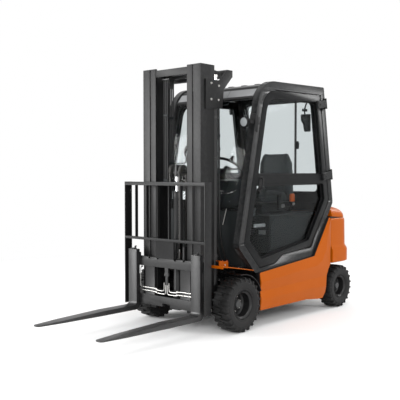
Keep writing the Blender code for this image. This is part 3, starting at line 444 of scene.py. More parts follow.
def buildRub(tree, source, result):
    # proud edges rubbed brighter, broken up by noise
    edge = tree.nodes.new("ShaderNodeNewGeometry").outputs["Pointiness"]
    place = tree.nodes.new("ShaderNodeTexCoord").outputs["Object"]
    sharp = rangeNode(tree, edge, 0.515, 0.6)
    broken = rangeNode(tree, noiseNode(tree, place, 34.0, 4.0, 0.6), 0.4, 0.62)
    both = mathNode(tree, "MULTIPLY", sharp, broken)
    tree.links.new(mathNode(tree, "MULTIPLY", both, source.outputs["Amount"], clamp=True), result.inputs["Mask"])


grainGroup = effectGroup("surfaceGrain", {"Fine scale": 300.0, "Slow scale": 3.0},
                         {"Height": "NodeSocketFloat", "Tone": "NodeSocketFloat"}, buildGrain)
dustGroup = effectGroup("groundDust", {"Reach": 0.6, "Amount": 0.3}, {"Mask": "NodeSocketFloat"}, buildDust)
rubGroup = effectGroup("edgeRub", {"Amount": 0.3}, {"Mask": "NodeSocketFloat"}, buildRub)

finishDefaults = {
    "rough": 0.5, "metal": 0.0, "fine": 300.0, "bump": 0.02, "slow": 3.0, "shade": 0.12, "dust": 0.0, "reach": 0.6,
    "rub": 0.0, "rubColour": (0.25, 0.25, 0.25), "coat": 0.0, "alpha": 1.0, "glow": 0.0, "specular": 0.5,
    "dustColour": (0.22, 0.2, 0.17),
}


def makeFinish(name, colour, **changes):
    values = {**finishDefaults, **changes}
    look = bpy.data.materials.new(name)
    look.use_nodes = True
    tree = look.node_tree
    shader = tree.nodes["Principled BSDF"]
    shader.inputs["Metallic"].default_value = values["metal"]
    shader.inputs["Coat Weight"].default_value = values["coat"]
    shader.inputs["Coat Roughness"].default_value = 0.12
    shader.inputs["Alpha"].default_value = values["alpha"]
    shader.inputs["Specular IOR Level"].default_value = values["specular"]
    if values["glow"]:
        shader.inputs["Emission Color"].default_value = (*colour, 1)
        shader.inputs["Emission Strength"].default_value = values["glow"]

    def group(kind, **inputs):
        node = tree.nodes.new("ShaderNodeGroup")
        node.node_tree = kind
        for label, value in inputs.items():
            node.inputs[label.replace("_", " ")].default_value = value
        return node

    def mixed(factor, first, second):
        node = tree.nodes.new("ShaderNodeMix")
        node.data_type = "RGBA"
        if isinstance(factor, float):
            node.inputs["Factor"].default_value = factor
        else:
            tree.links.new(factor, node.inputs["Factor"])
        for socket, value in ((node.inputs[6], first), (node.inputs[7], second)):
            if isinstance(value, tuple):
                socket.default_value = (*value, 1)
            else:
                tree.links.new(value, socket)
        return node.outputs[2]

    grain = group(grainGroup, Fine_scale=values["fine"], Slow_scale=values["slow"])
    lift = 1 + values["shade"]
    shown = mixed(grain.outputs["Tone"], tuple(c / lift for c in colour), tuple(min(c * lift, 1.0) for c in colour))
    if values["rub"]:
        shown = mixed(group(rubGroup, Amount=values["rub"]).outputs["Mask"], shown, values["rubColour"])
    rough = mathNode(tree, "MULTIPLY_ADD", grain.outputs["Tone"], values["rough"] * 0.18)
    rough.node.inputs[2].default_value = values["rough"] * 0.91
    if values["dust"]:
        film = group(dustGroup, Reach=values["reach"], Amount=values["dust"]).outputs["Mask"]
        shown = mixed(film, shown, values["dustColour"])
        rough = mathNode(tree, "MAXIMUM", rough, mathNode(tree, "MULTIPLY", film, 0.9))
    tree.links.new(shown, shader.inputs["Base Color"])
    tree.links.new(rough, shader.inputs["Roughness"])
    bump = tree.nodes.new("ShaderNodeBump")
    bump.inputs["Strength"].default_value = 0.6
    bump.inputs["Distance"].default_value = values["bump"] / 1000
    tree.links.new(grain.outputs["Height"], bump.inputs["Height"])
    tree.links.new(bump.outputs["Normal"], shader.inputs["Normal"])
    look.diffuse_color = (*colour, values["alpha"])
    return look


bodyOrange = makeFinish("bodyOrange", (0.365, 0.074, 0.001), rough=0.36, coat=0.0, fine=420.0, bump=0.008, slow=1.6,
                        shade=0.05, specular=0.09, dust=0.05, reach=0.35)
cabGrey = makeFinish("cabGrey", (0.0085, 0.009, 0.0095), rough=0.34, fine=700.0, bump=0.016, slow=2.0, shade=0.1,
                     specular=0.19, rub=0.1, rubColour=(0.1, 0.1, 0.1))
doorGrey = makeFinish("doorGrey", (0.005, 0.0054, 0.0058), rough=0.38, fine=700.0, bump=0.016, slow=2.0, shade=0.1,
                      specular=0.12, rub=0.05, rubColour=(0.08, 0.08, 0.08))
mastSteel = makeFinish("mastSteel", (0.0082, 0.0082, 0.0085), rough=0.43, fine=420.0, bump=0.01, slow=2.4, shade=0.1,
                       specular=0.22, dust=0.02, rub=0.1, rubColour=(0.06, 0.06, 0.06))
carriageSteel = makeFinish("carriageSteel", (0.0125, 0.0125, 0.0128), rough=0.41, fine=420.0, bump=0.02, slow=2.4,
                           shade=0.12, specular=0.34, dust=0.03, rub=0.2, rubColour=(0.1, 0.1, 0.1))
innerSteel = makeFinish("innerSteel", (0.006, 0.006, 0.0063), rough=0.46, fine=420.0, bump=0.02, slow=2.4, shade=0.14,
                        specular=0.42, rub=0.15, rubColour=(0.08, 0.08, 0.08))
forkSteel = makeFinish("forkSteel", (0.013, 0.013, 0.0135), rough=0.38, fine=260.0, bump=0.04, slow=5.0,
                       shade=0.25, specular=0.45, dust=0.05, reach=0.3, rub=0.45, rubColour=(0.2, 0.195, 0.19))
frameBlack = makeFinish("frameBlack", (0.006, 0.006, 0.0065), rough=0.6, fine=380.0, bump=0.05, shade=0.2,
                        specular=0.25, dust=0.1, reach=0.5, dustColour=(0.06, 0.055, 0.05))
moulded = makeFinish("mouldedPlastic", (0.0105, 0.013, 0.0138), rough=0.58, fine=800.0, bump=0.006, shade=0.08,
                     slow=4.0, specular=0.24)
# light grey plastic, also used as a painted highlight on the armrest pod's rim
mouldedLightAndRimHighlight = makeFinish("mouldedLightAndRimHighlight", (0.045, 0.05, 0.052), rough=0.5, fine=800.0, bump=0.025, shade=0.08,
                          specular=0.3)
headliner = makeFinish("headliner", (0.22, 0.225, 0.23), rough=0.55, fine=700.0, bump=0.03, shade=0.15, slow=3.0,
                       specular=0.3)
sealRubber = makeFinish("sealRubber", (0.0045, 0.0045, 0.005), rough=0.5, fine=600.0, bump=0.015, specular=0.28)
tyreRubber = makeFinish("tyreRubber", (0.008, 0.008, 0.0083), rough=0.68, fine=220.0, bump=0.08, slow=9.0, shade=0.22,
                        specular=0.28, dust=0.22, reach=0.5, dustColour=(0.04, 0.037, 0.033))
rimBlack = makeFinish("rimBlack", (0.006, 0.006, 0.0065), rough=0.4, fine=500.0, bump=0.02, shade=0.15, dust=0.18,
                      specular=0.35, reach=0.45, dustColour=(0.04, 0.037, 0.034))
hubGrey = makeFinish("hubGrey", (0.032, 0.033, 0.034), rough=0.42, fine=500.0, bump=0.02, rub=0.2, specular=0.4)
hoseRubber = makeFinish("hoseRubber", (0.008, 0.008, 0.0085), rough=0.42, fine=700.0, bump=0.02, specular=0.35)
zincSteel = makeFinish("zincSteel", (0.52, 0.51, 0.49), rough=0.3, metal=1.0, fine=300.0, bump=0.008, shade=0.08)
chromeSteel = makeFinish("chromeSteel", (0.62, 0.62, 0.63), rough=0.14, metal=1.0, fine=80.0, bump=0.002, shade=0.04)
chainSteel = makeFinish("chainSteel", (0.085, 0.083, 0.08), rough=0.42, metal=0.8, fine=120.0, bump=0.02, shade=0.25)
paneGlass = makeFinish("paneGlass", (0.018, 0.022, 0.023), rough=0.04, alpha=0.16, fine=6.0, bump=0.0005, shade=0.02,
                       specular=0.45)
seatVinyl = makeFinish("seatVinyl", (0.026, 0.032, 0.034), rough=0.55, fine=420.0, bump=0.06, slow=5.0, shade=0.14,
                       specular=0.35)
beltOrange = makeFinish("beltOrange", (0.6, 0.11, 0.01), rough=0.4, fine=500.0, bump=0.01)
fittingOrange = makeFinish("fittingOrange", (0.62, 0.12, 0.04), rough=0.35, fine=400.0, bump=0.01, shade=0.08)
lampLens = makeFinish("lampLens", (0.32, 0.34, 0.35), rough=0.14, fine=90.0, bump=0.1, coat=0.3)
tailLens = makeFinish("tailLens", (0.35, 0.008, 0.006), rough=0.15, fine=90.0, bump=0.1, coat=0.4)
whiteMarks = makeFinish("whiteMarks", (0.3, 0.3, 0.29), rough=0.45, fine=500.0, bump=0.01)
displayGlass = makeFinish("displayGlass", (0.006, 0.008, 0.01), rough=0.08, fine=10.0, bump=0.0005, coat=0.5)


def makeGlass(look, tint, bend):
    # clear panes: light goes straight on through them, a little darker
    shader = look.node_tree.nodes["Principled BSDF"]
    for label in ("Base Color", "Roughness", "Normal"):
        for link in list(shader.inputs[label].links):
            look.node_tree.links.remove(link)
    shader.inputs["Base Color"].default_value = (*tint, 1)
    shader.inputs["Roughness"].default_value = 0.0
    shader.inputs["Alpha"].default_value = 1.0
    shader.inputs["Transmission Weight"].default_value = 1.0
    shader.inputs["IOR"].default_value = bend


makeGlass(paneGlass, (0.77, 0.8, 0.805), 1.12)
print("finishes made:", len(bpy.data.materials))


# wheels
frontWheel = {
    "centre": frontCentre, "radius": frontRadius, "width": axleHigh.x - axleLow.x, "lugs": 23, "lugDepth": 0.013,
    "rimShare": 0.505, "bolts": 6, "boltCircle": 0.06, "hub": 0.034,
}
rearWheel = {
    "centre": rearCentre, "radius": rearRadius, "width": rearHigh.x - rearLow.x, "lugs": 21, "lugDepth": 0.012,
    "rimShare": 0.505, "bolts": 5, "boltCircle": 0.052, "hub": 0.03,
}


def buildTyre(name, centre, side, size):
    radius, half, depth = size["radius"], size["width"] / 2, size["lugDepth"]
    seat = radius * size["rimShare"] + 0.0008
    base = radius - depth
    wall = [
        (seat, half - 0.018), (seat + 0.006, half - 0.008), (seat + 0.014, half - 0.005),
        (seat + 0.017, half - 0.0075), (seat + 0.02, half - 0.005), (radius * 0.66, half - 0.0025),
        (radius * 0.76, half - 0.0012), (radius * 0.8, half - 0.0012), (radius * 0.815, half - 0.004),
        (base - 0.008, half - 0.007), (base, half - 0.02),
    ]
    profile = wall + [(base, x) for x in (half * 0.4, 0, -half * 0.4)] + [(r, -x) for r, x in reversed(wall)]
    profile.append(profile[0])
    carcass = lathe(profile, centre, (side, 0, 0), 112)
    pieces = [carcass]
    # two rows of lugs, each from the middle of the tread round the shoulder and a little way down the wall
    count = size["lugs"]
    step = 2 * math.pi / count
    for row in (1, -1):
        for i in range(count):
            middle = step * (i + (0.25 if row > 0 else -0.25))
            spine = []
            for k in range(9):
                t = k / 8
                if t < 0.72:
                    reach = t / 0.72
                    x = -0.012 + (half - 0.006 + 0.012) * reach
                    r = radius - 0.0016 * reach * reach
                    low = base - 0.003
                else:
                    reach = (t - 0.72) / 0.28
                    x = half - 0.006 + 0.0052 * math.sin(reach * math.pi / 2)
                    r = radius - 0.0016 - 0.031 * reach
                    low = r - 0.012
                swing = middle + step * 0.16 * math.sin(min(t, 0.72) / 0.72 * math.pi / 2) * row
                broad = step * (0.285 - 0.05 * t)
                spine.append((x * row, r, low, swing, broad))
            verts, faces = [], []
            for x, r, low, swing, broad in spine:
                for reach, share in ((low, 1.12), (r - 0.0022, 1.0), (r, 0.86), (r, -0.86), (r - 0.0022, -1.0),
                                     (low, -1.12)):
                    angle = swing + broad * share / 2
                    inner = x * 0.93 if reach == low and abs(x) > half * 0.8 else x
                    verts.append(centre + Vector((inner * side, reach * math.cos(angle), reach * math.sin(angle))))
            ring = 6
            for k in range(len(spine) - 1):
                for j in range(ring):
                    after = (j + 1) % ring
                    faces.append((k * ring + j, k * ring + after, (k + 1) * ring + after, (k + 1) * ring + j))
            faces.append(tuple(range(ring)))
            faces.append(tuple((len(spine) - 1) * ring + j for j in range(ring))[::-1])
            lug = newPiece("lug", verts, faces)
            bm = bmesh.new()
            bm.from_mesh(lug.data)
            bmesh.ops.recalc_face_normals(bm, faces=bm.faces)
            bm.to_mesh(lug.data)
            bm.free()
            pieces.append(lug)
    tyre = joined(name + "_tread", pieces)
    return smoothShade(tyre, 32)


def buildRim(name, centre, side, size, front):
    rim, half = size["radius"] * size["rimShare"], size["width"] / 2
    dish = -0.006
    profile = [
        (0.0, dish - 0.012), (size["boltCircle"] * 0.5, dish - 0.012), (rim * 0.7, dish - 0.012),
        (rim * 0.74, dish - 0.004), (rim * 0.83, dish + 0.004), (rim * 0.845, half - 0.04),
        (rim * 0.86, half - 0.026), (rim * 0.93, half - 0.021), (rim * 0.975, half - 0.015),
        (rim * 0.995, half - 0.012), (rim * 0.998, half - 0.017),
        (rim * 0.99, half - 0.024), (rim * 0.95, -half + 0.02),
        (rim * 0.9, -half + 0.018), (rim * 0.86, -half + 0.03), (rim * 0.82, dish - 0.03), (0.0, dish - 0.03),
    ]
    pieces = [lathe(profile, centre, (side, 0, 0), 72)]
    hub, tall = size["hub"], 0.03 if front else 0.04
    cap = lathe([(hub * 1.28, dish - 0.013), (hub * 1.28, dish - 0.006), (hub * 1.06, dish - 0.002),
                 (hub, dish + 0.004), (hub * 0.98, dish + tall - 0.006),
                 (hub * 0.88, dish + tall), (hub * 0.3, dish + tall + 0.001),
                 (0.0, dish + tall + 0.001)], centre, (side, 0, 0), 48)
    rimPiece = settle(pieces[0], f"wheel_{name}", rimBlack, [f"rim_{name}"])
    rimPiece.name = f"rim_{name}_dish"
    cap.name = f"hub_{name}"
    settle(cap, f"wheel_{name}", hubGrey)
    bolts = []
    for i in range(size["bolts"]):
        angle = 2 * math.pi * (i + 0.3) / size["bolts"]
        spot = centre + Vector((side * (dish - 0.012), math.cos(angle) * size["boltCircle"],
                                math.sin(angle) * size["boltCircle"]))
        bolts.append(bolt(spot, (side, 0, 0), 0.0085, 0.011))
        bolts.append(bar(spot, spot + Vector((side * 0.018, 0, 0)), 0.0045, 16, 0.0008))
    settle(joined(f"wheel_bolts_{name}", bolts), f"wheel_{name}", zincSteel if front else hubGrey)


for where, size in (("front", frontWheel), ("rear", rearWheel)):
    for label, mirror in (("left", 1), ("right", -1)):
        middle = Vector((size["centre"].x * mirror, size["centre"].y, size["centre"].z))
        wheelName = f"{where}_{label}"
        tyre = buildTyre(f"tyre_{wheelName}", middle, mirror, size)
        settle(tyre, f"wheel_{wheelName}", tyreRubber, [f"tyre_{wheelName}"])
        buildRim(wheelName, middle, mirror, size, where == "front")
print("wheels built")


# body sides, with their creases and the lighter band
bodySide = {
    "out": 0.5335,          # outer face
    "inside": 0.5275,
    "band": 0.012,          # how far the band's lower edge stands out
    "crease": 0.0105,
    "soften": 0.0035,
}
sideRows = {
    "bottom": [(0.2445, 0.145), (0.6, 0.145), (0.95, 0.145), (1.13, 0.125), (1.213, 0.125), (1.259, 0.172)],
    "bandLow": [(0.2445, 0.236), (0.6, 0.241), (0.95, 0.243), (1.13, 0.238), (1.213, 0.232), (1.26, 0.229)],
    "bandHigh": [(0.2445, 0.302), (0.6, 0.312), (0.95, 0.322), (1.13, 0.326), (1.23, 0.329), (1.289, 0.331)],
    "crease": [(0.2445, 0.382), (0.6, 0.404), (0.833, 0.424), (1.107, 0.442), (1.193, 0.481), (1.264, 0.577),
               (1.276, 0.679), (1.312, 0.794), (1.342, 0.868)],
    "top": [(0.2375, 0.4525), (0.242, 0.4645), (1.074, 0.533), (1.325, 0.881)],
    "rear": [(1.3565, 0.858), (1.3565, 0.44), (1.317, 0.385)],
}


def buildBodySide(name, side):
    shape = bodySide
    points, index = [], {}

    def vert(key, y, z, out):
        index[key] = len(points)
        points.append(at(side * (shape["out"] + out), y, z))
        return index[key]

    rows = {}
    for row, out in (("bottom", 0.002), ("bandLow", shape["band"]), ("bandHigh", 0.0), ("crease", shape["crease"]),
                     ("top", 0.001), ("rear", 0.0)):
        rows[row] = [vert((row, i), y, z, out) for i, (y, z) in enumerate(sideRows[row])]
    faces = []
    for low, high in (("bottom", "bandLow"), ("bandLow", "bandHigh")):
        for i in range(len(rows[low]) - 1):
            faces.append((rows[low][i], rows[low][i + 1], rows[high][i + 1], rows[high][i]))
    middle = rows["bandHigh"] + rows["rear"][::-1] + rows["crease"][::-1]
    upper = rows["crease"] + rows["top"][::-1]
    faces += [tuple(middle), tuple(upper)]
    skin = newPiece("skin", points, faces)
    bm = bmesh.new()
    bm.from_mesh(skin.data)
    bpy.data.objects.remove(skin)
    bmesh.ops.recalc_face_normals(bm, faces=bm.faces)
    bmesh.ops.triangulate(bm, faces=[f for f in bm.faces if len(f.verts) > 4])
    back = bmesh.ops.extrude_face_region(bm, geom=bm.faces[:])
    for v in back["geom"]:
        if isinstance(v, bmesh.types.BMVert):
            v.co.x = side * shape["inside"]
    bmesh.ops.recalc_face_normals(bm, faces=bm.faces)
    bmesh.ops.dissolve_limit(bm, angle_limit=math.radians(0.4), verts=bm.verts, edges=bm.edges)
    panel = fromBmesh(f"body_side_{name}", bm)
    softenEdges(panel, shape["soften"], 3, 2.2)
    return settle(panel, "chassis", bodyOrange)


twoSided(buildBodySide)
frameFine = refine("chassis", 0.002)
settle(frameFine, "chassis", frameBlack, ["chassis"])

# dark gap beside the seam
for label, mirror in (("left", 1), ("right", -1)):
    lowX, highX = spread(0.5, 0.526, mirror)
    seam = block(at(lowX, 1.35, 0.452), at(highX, 1.372, 0.872), 0.001)
    settle(seam, "chassis", frameBlack)
    seam.name = f"seam_{label}"

# front mudguards: an orange plate with its tab, and a rubber flap behind the wheel
mudguard = {"front": -0.252, "rear": 0.15, "frontZ": 0.561, "rearZ": 0.4925, "inner": 0.352, "outer": 0.5385,
            "sheet": 0.006}


def buildMudguard(name, side):
    size = mudguard
    low, high = spread(size["inner"], size["outer"], side)
    line = [(size["front"], size["frontZ"]), (-0.05, 0.5275), (0.08, 0.5045), (size["rear"], size["rearZ"])]
    outline = [Vector(p) for p in line] + [Vector((y, z + size["sheet"])) for y, z in reversed(line)]
    sheet = plate([outline], "YZ", low, high, 0.0018, 3)
    lipBack, lipLow, lipHigh = size["front"] + 0.005, size["frontZ"] - 0.016, size["frontZ"] + 0.003
    lip = plate([[Vector((size["front"], lipLow)), Vector((lipBack, lipLow)), Vector((lipBack, lipHigh)),
                  Vector((size["front"], lipHigh))]],
                "YZ", low, high, 0.001)
    tabLow, tabHigh = spread(0.38, 0.386, side)
    tab = plate([roundCorners([(-0.118, 0.53, 0.002), (-0.002, 0.512, 0.002), (-0.002, 0.566, 0.01),
                               (-0.118, 0.584, 0.01)])], "YZ", tabLow, tabHigh, 0.0012)
    tabTop = plate([roundCorners([(-0.118, 0.582, 0.001), (-0.002, 0.564, 0.001), (-0.002, 0.569, 0.001),
                                  (-0.118, 0.587, 0.001)])], "YZ", *spread(0.35, 0.386, side), 0.001)
    screw = bolt(at(side * 0.386, -0.045, 0.545), (side, 0, 0), 0.006, 0.005)
    guard = joined(f"mudguard_{name}", [sheet, lip, tab, tabTop])
    settle(guard, "chassis", bodyOrange, [f"front_fender_{name}"])
    settle(screw, "chassis", zincSteel)
    screw.name = f"mudguard_screw_{name}"
    # the flap hangs from the plate's rear edge and follows the tyre round
    centre = frontCentre
    inner, outer = [], []
    for k in range(15):
        angle = math.radians(98 - k * 5.6)
        gap = 0.0165 + 0.01 * (k / 14) ** 2
        for row, thick in ((inner, 0.0), (outer, 0.006)):
            reach = frontRadius + gap + thick
            row.append(Vector((reach * math.cos(angle), centre.z + reach * math.sin(angle))))
    flap = plate([inner + outer[::-1]], "YZ", *spread(0.362, 0.545, side), 0.0012)
    flap.name = f"mud_flap_{name}"
    settle(flap, "chassis", sealRubber)


twoSided(buildMudguard)


# counterweight
weightShape = {
    "halfWidth": 0.532,
    "front": 1.3635,
    "rear": 1.8145,
    # height, growth over the half width, and where its front starts
    "rings": (
        (0.4405, 0.004, 1.3735), (0.448, 0.0165, 1.372), (0.46, 0.0175, 1.3715), (0.556, 0.0175, 1.3715),
        (0.568, 0.016, 1.37), (0.602, 0.001, 1.365), (0.616, 0.0, 1.364), (0.84, -0.003, 1.364),
        (0.858, -0.006, 1.364), (0.866, -0.012, 1.369), (0.868, -0.02, 1.376),
    ),
    "cap": (
        (0.885, -0.016, 1.4), (0.887, -0.012, 1.396), (0.9, -0.011, 1.394), (0.925, -0.016, 1.393),
        (0.948, -0.029, 1.393), (0.966, -0.052, 1.395), (0.979, -0.086, 1.399), (0.987, -0.126, 1.406),
        (0.9895, -0.17, 1.42),
    ),
    "capFall": 0.115,
}


def weightRing(z, grow, front, fall=0.0):
    half = weightShape["halfWidth"] + grow
    rear = weightShape["rear"] - 0.018 + grow
    corners = [(half, front, 0.006), (half, rear - 0.14, 0.155), (half * 0.6, rear, 0.12)]
    corners += [(-u, v, radius) for u, v, radius in reversed(corners)]
    ring = []
    for u, v in roundCorners(corners, 9):
        ring.append(at(u, v, z - fall * max(v - 1.45, 0.0)))
    return ring


def loft(name, rings, capLow=True, capHigh=True):
    count = len(rings[0])
    verts = [v for ring in rings for v in ring]
    faces = []
    for i in range(len(rings) - 1):
        for k in range(count):
            after = (k + 1) % count
            faces.append((i * count + k, i * count + after, (i + 1) * count + after, (i + 1) * count + k))
    if capLow:
        faces.append(tuple(range(count))[::-1])
    if capHigh:
        faces.append(tuple((len(rings) - 1) * count + k for k in range(count)))
    piece = newPiece(name, verts, faces)
    bm = bmesh.new()
    bm.from_mesh(piece.data)
    bmesh.ops.recalc_face_normals(bm, faces=bm.faces)
    bm.to_mesh(piece.data)
    bm.free()
    return piece


casting = loft("counterweight_casting", [weightRing(*row) for row in weightShape["rings"]])
smoothShade(casting, 28)
settle(casting, "chassis", bodyOrange, ["counterweight"])
cap = loft("counterweight_cap", [weightRing(*row, fall=weightShape["capFall"]) for row in weightShape["cap"]])
smoothShade(cap, 28)
settle(cap, "chassis", bodyOrange)

groove = []
for z, grow in ((0.866, -0.026), (0.8865, -0.026)):
    groove.append(weightRing(z, grow, 1.392))
vent = loft("counterweight_groove", groove)
smoothShade(vent, 28)
settle(vent, "chassis", sealRubber)
strip = loft("counterweight_strip", [weightRing(z, grow, 1.388) for z, grow in
                                     ((0.8735, -0.022), (0.8745, -0.0205), (0.8785, -0.0205), (0.8795, -0.022))])
smoothShade(strip, 28)
settle(strip, "chassis", mouldedLightAndRimHighlight)

# block between the rear wheels that carries the axle, and the towing pin in its pocket
ballast = joined("axle_block", [
    block(at(-0.165, 1.3615, 0.279), at(0.165, 1.585, 0.45), 0.006, 2),
    block(at(-0.165, 1.575, 0.175), at(0.165, 1.775, 0.298), 0.008, 3),
    block(at(-0.165, 1.575, 0.352), at(0.165, 1.775, 0.45), 0.006, 2),
    block(at(-0.165, 1.575, 0.29), at(-0.05, 1.775, 0.36), 0.003, 2),
    block(at(0.05, 1.575, 0.29), at(0.165, 1.775, 0.36), 0.003, 2),
    block(at(-0.06, 1.575, 0.29), at(0.06, 1.7, 0.36), 0.003, 2),
])
settle(ballast, "chassis", frameBlack)
towPin = bar(at(0, 1.745, 0.2985), at(0, 1.745, 0.3515), 0.013, 28, 0.001, name="tow_pin")
settle(towPin, "chassis", zincSteel)

# rear: lamps in the casting's corners, a vent and the seam of the cap
rearDetail = {"lampX": 0.33, "lampZ": 0.735, "ventBars": 7}


def buildRearLamp(name, side):
    x = rearDetail["lampX"] * side
    z = rearDetail["lampZ"]
    y = 1.7962
    bezel = plate([roundCorners([(x - 0.06, z - 0.032, 0.012), (x + 0.06, z - 0.032, 0.012),
                                 (x + 0.06, z + 0.032, 0.012), (x - 0.06, z + 0.032, 0.012)])],
                  "XZ", y - 0.03, y + 0.004, 0.002, 3)
    bezel.name = f"rear_lamp_bezel_{name}"
    settle(bezel, "chassis", sealRubber)
    low, high = sorted((x - side * 0.052, x + side * 0.01))
    red = plate([roundCorners([(low, z - 0.024, 0.008), (high, z - 0.024, 0.004), (high, z + 0.024, 0.004),
                               (low, z + 0.024, 0.008)])], "XZ", y - 0.01, y + 0.009, 0.003, 3)
    red.name = f"rear_lamp_red_{name}"
    settle(red, "chassis", tailLens)
    low, high = sorted((x + side * 0.014, x + side * 0.052))
    clear = plate([roundCorners([(low, z - 0.024, 0.004), (high, z - 0.024, 0.008), (high, z + 0.024, 0.008),
                                 (low, z + 0.024, 0.004)])], "XZ", y - 0.01, y + 0.009, 0.003, 3)
    clear.name = f"rear_lamp_clear_{name}"
    settle(clear, "chassis", lampLens)


twoSided(buildRearLamp)
slats = [plate([roundCorners([(-0.15, 0.68, 0.01), (0.15, 0.68, 0.01), (0.15, 0.8, 0.01),
                              (-0.15, 0.8, 0.01)])], "XZ", 1.775, 1.7985, 0.001, 2)]
for i in range(rearDetail["ventBars"]):
    z = 0.692 + i * 0.016
    slats.append(block(at(-0.142, 1.796, z), at(0.142, 1.8015, z + 0.008), 0.0015))
settle(joined("rear_vent", slats), "chassis", moulded)
print("body built")


# cab: side rings, doors, windows, hinges and roof
cabShape = {
    "ring": [(-0.025, 0.7, 0.06), (0.205, 0.462, 0.03), (1.07, 0.535, 0.02), (1.42, 1.02, 0.06),
             (1.248, 2.105, 0.015), (0.271, 2.085, 0.24)],
    "holeInset": [0.066, 0.032, 0.066, 0.066, 0.072, 0.066],
    "face": 0.512,
    "ringDepth": 0.06,
    "ringBevel": 0.0165,
    "doorGap": 0.006,
    "doorFrame": 0.066,
    "doorDepth": 0.036,
    "doorOut": -0.002,
    "midLow": 1.205,
    "midHigh": 1.29,
    "seal": 0.011,
    "hinges": (1.29, 1.955),
}
cabRing = cabShape["ring"]
windowLean = (cabRing[5][0] - cabRing[0][0]) / (cabRing[5][1] - cabRing[0][1])
rearLean = (cabRing[3][0] - cabRing[4][0]) / (cabRing[4][1] - cabRing[3][1])


def frontPillar(z, back=0.0):
    return cabRing[0][0] + (z - cabRing[0][1]) * windowLean + back


def rearPillar(z):
    return cabRing[3][0] - (z - cabRing[3][1]) * rearLean


def steppedSill(corners):
    # the long lower edge steps up behind the driver's foot
    start, end = Vector(corners[1][:2]), Vector(corners[2][:2])
    slope = (end.y - start.y) / (end.x - start.x)
    step = [(y, start.y + (y - start.x) * slope + rise, 0.02) for y, rise in ((0.48, 0.0), (0.59, 0.056))]
    return corners[:2] + step + [(end.x + 0.0403, end.y + 0.056, corners[2][2])] + corners[3:]


def alongOutline(outline, reach=0.0012):
    # says whether an edge of a plate lies on this outline
    near = {(round(u / reach), round(v / reach)) for u, v in outline}
    near |= {(a + i, b + j) for a, b in near for i in (-1, 0, 1) for j in (-1, 0, 1)}

    def test(*points):
        return all((round((p.y - axleY) / reach), round(p.z / reach)) in near for p in points)
    return test


doorHole = steppedSill(insetCorners(cabRing, cabShape["holeInset"]))
doorEdge = insetCorners(doorHole, cabShape["doorGap"])
fullWindow = insetCorners(doorEdge[:2] + doorEdge[4:], cabShape["doorFrame"])


def onLine(p, q, z):
    return p[0] + (q[0] - p[0]) * (z - p[1]) / (q[1] - p[1])


wa, wb, wc, wd, we, wf = fullWindow
lowerWindow = [
    (wa[0], wa[1], 0.045), (wb[0], wb[1], 0.03), (wc[0], wc[1], 0.045), (wd[0], wd[1], 0.035),
    (onLine(wd, we, cabShape["midLow"]), cabShape["midLow"], 0.02),
    (onLine(wf, wa, cabShape["midLow"]), cabShape["midLow"], 0.02),
]
upperWindow = [
    (onLine(wf, wa, cabShape["midHigh"]), cabShape["midHigh"], 0.02),
    (onLine(wd, we, cabShape["midHigh"]), cabShape["midHigh"], 0.02),
    (we[0], we[1], 0.035), (wf[0], wf[1], 0.15),
]


def buildRing(name, side):
    face = cabShape["face"]
    outline, hole = roundCorners(cabRing, 10), roundCorners(doorHole, 8)
    ring = plate([outline, hole], "YZ", *spread(face - cabShape["ringDepth"], face, side))
    outer = alongOutline(outline)

    def share(a, b):
        if min(abs(a.x), abs(b.x)) > face - 0.001 and outer(a, b):
            return 1.0
        return 0.0

    softenEdges(ring, cabShape["ringBevel"], 1, weights=share)
    softenEdges(ring, 0.003, 3, 24)
    return settle(ring, "chassis", cabGrey, [f"cab_side_{name}"])


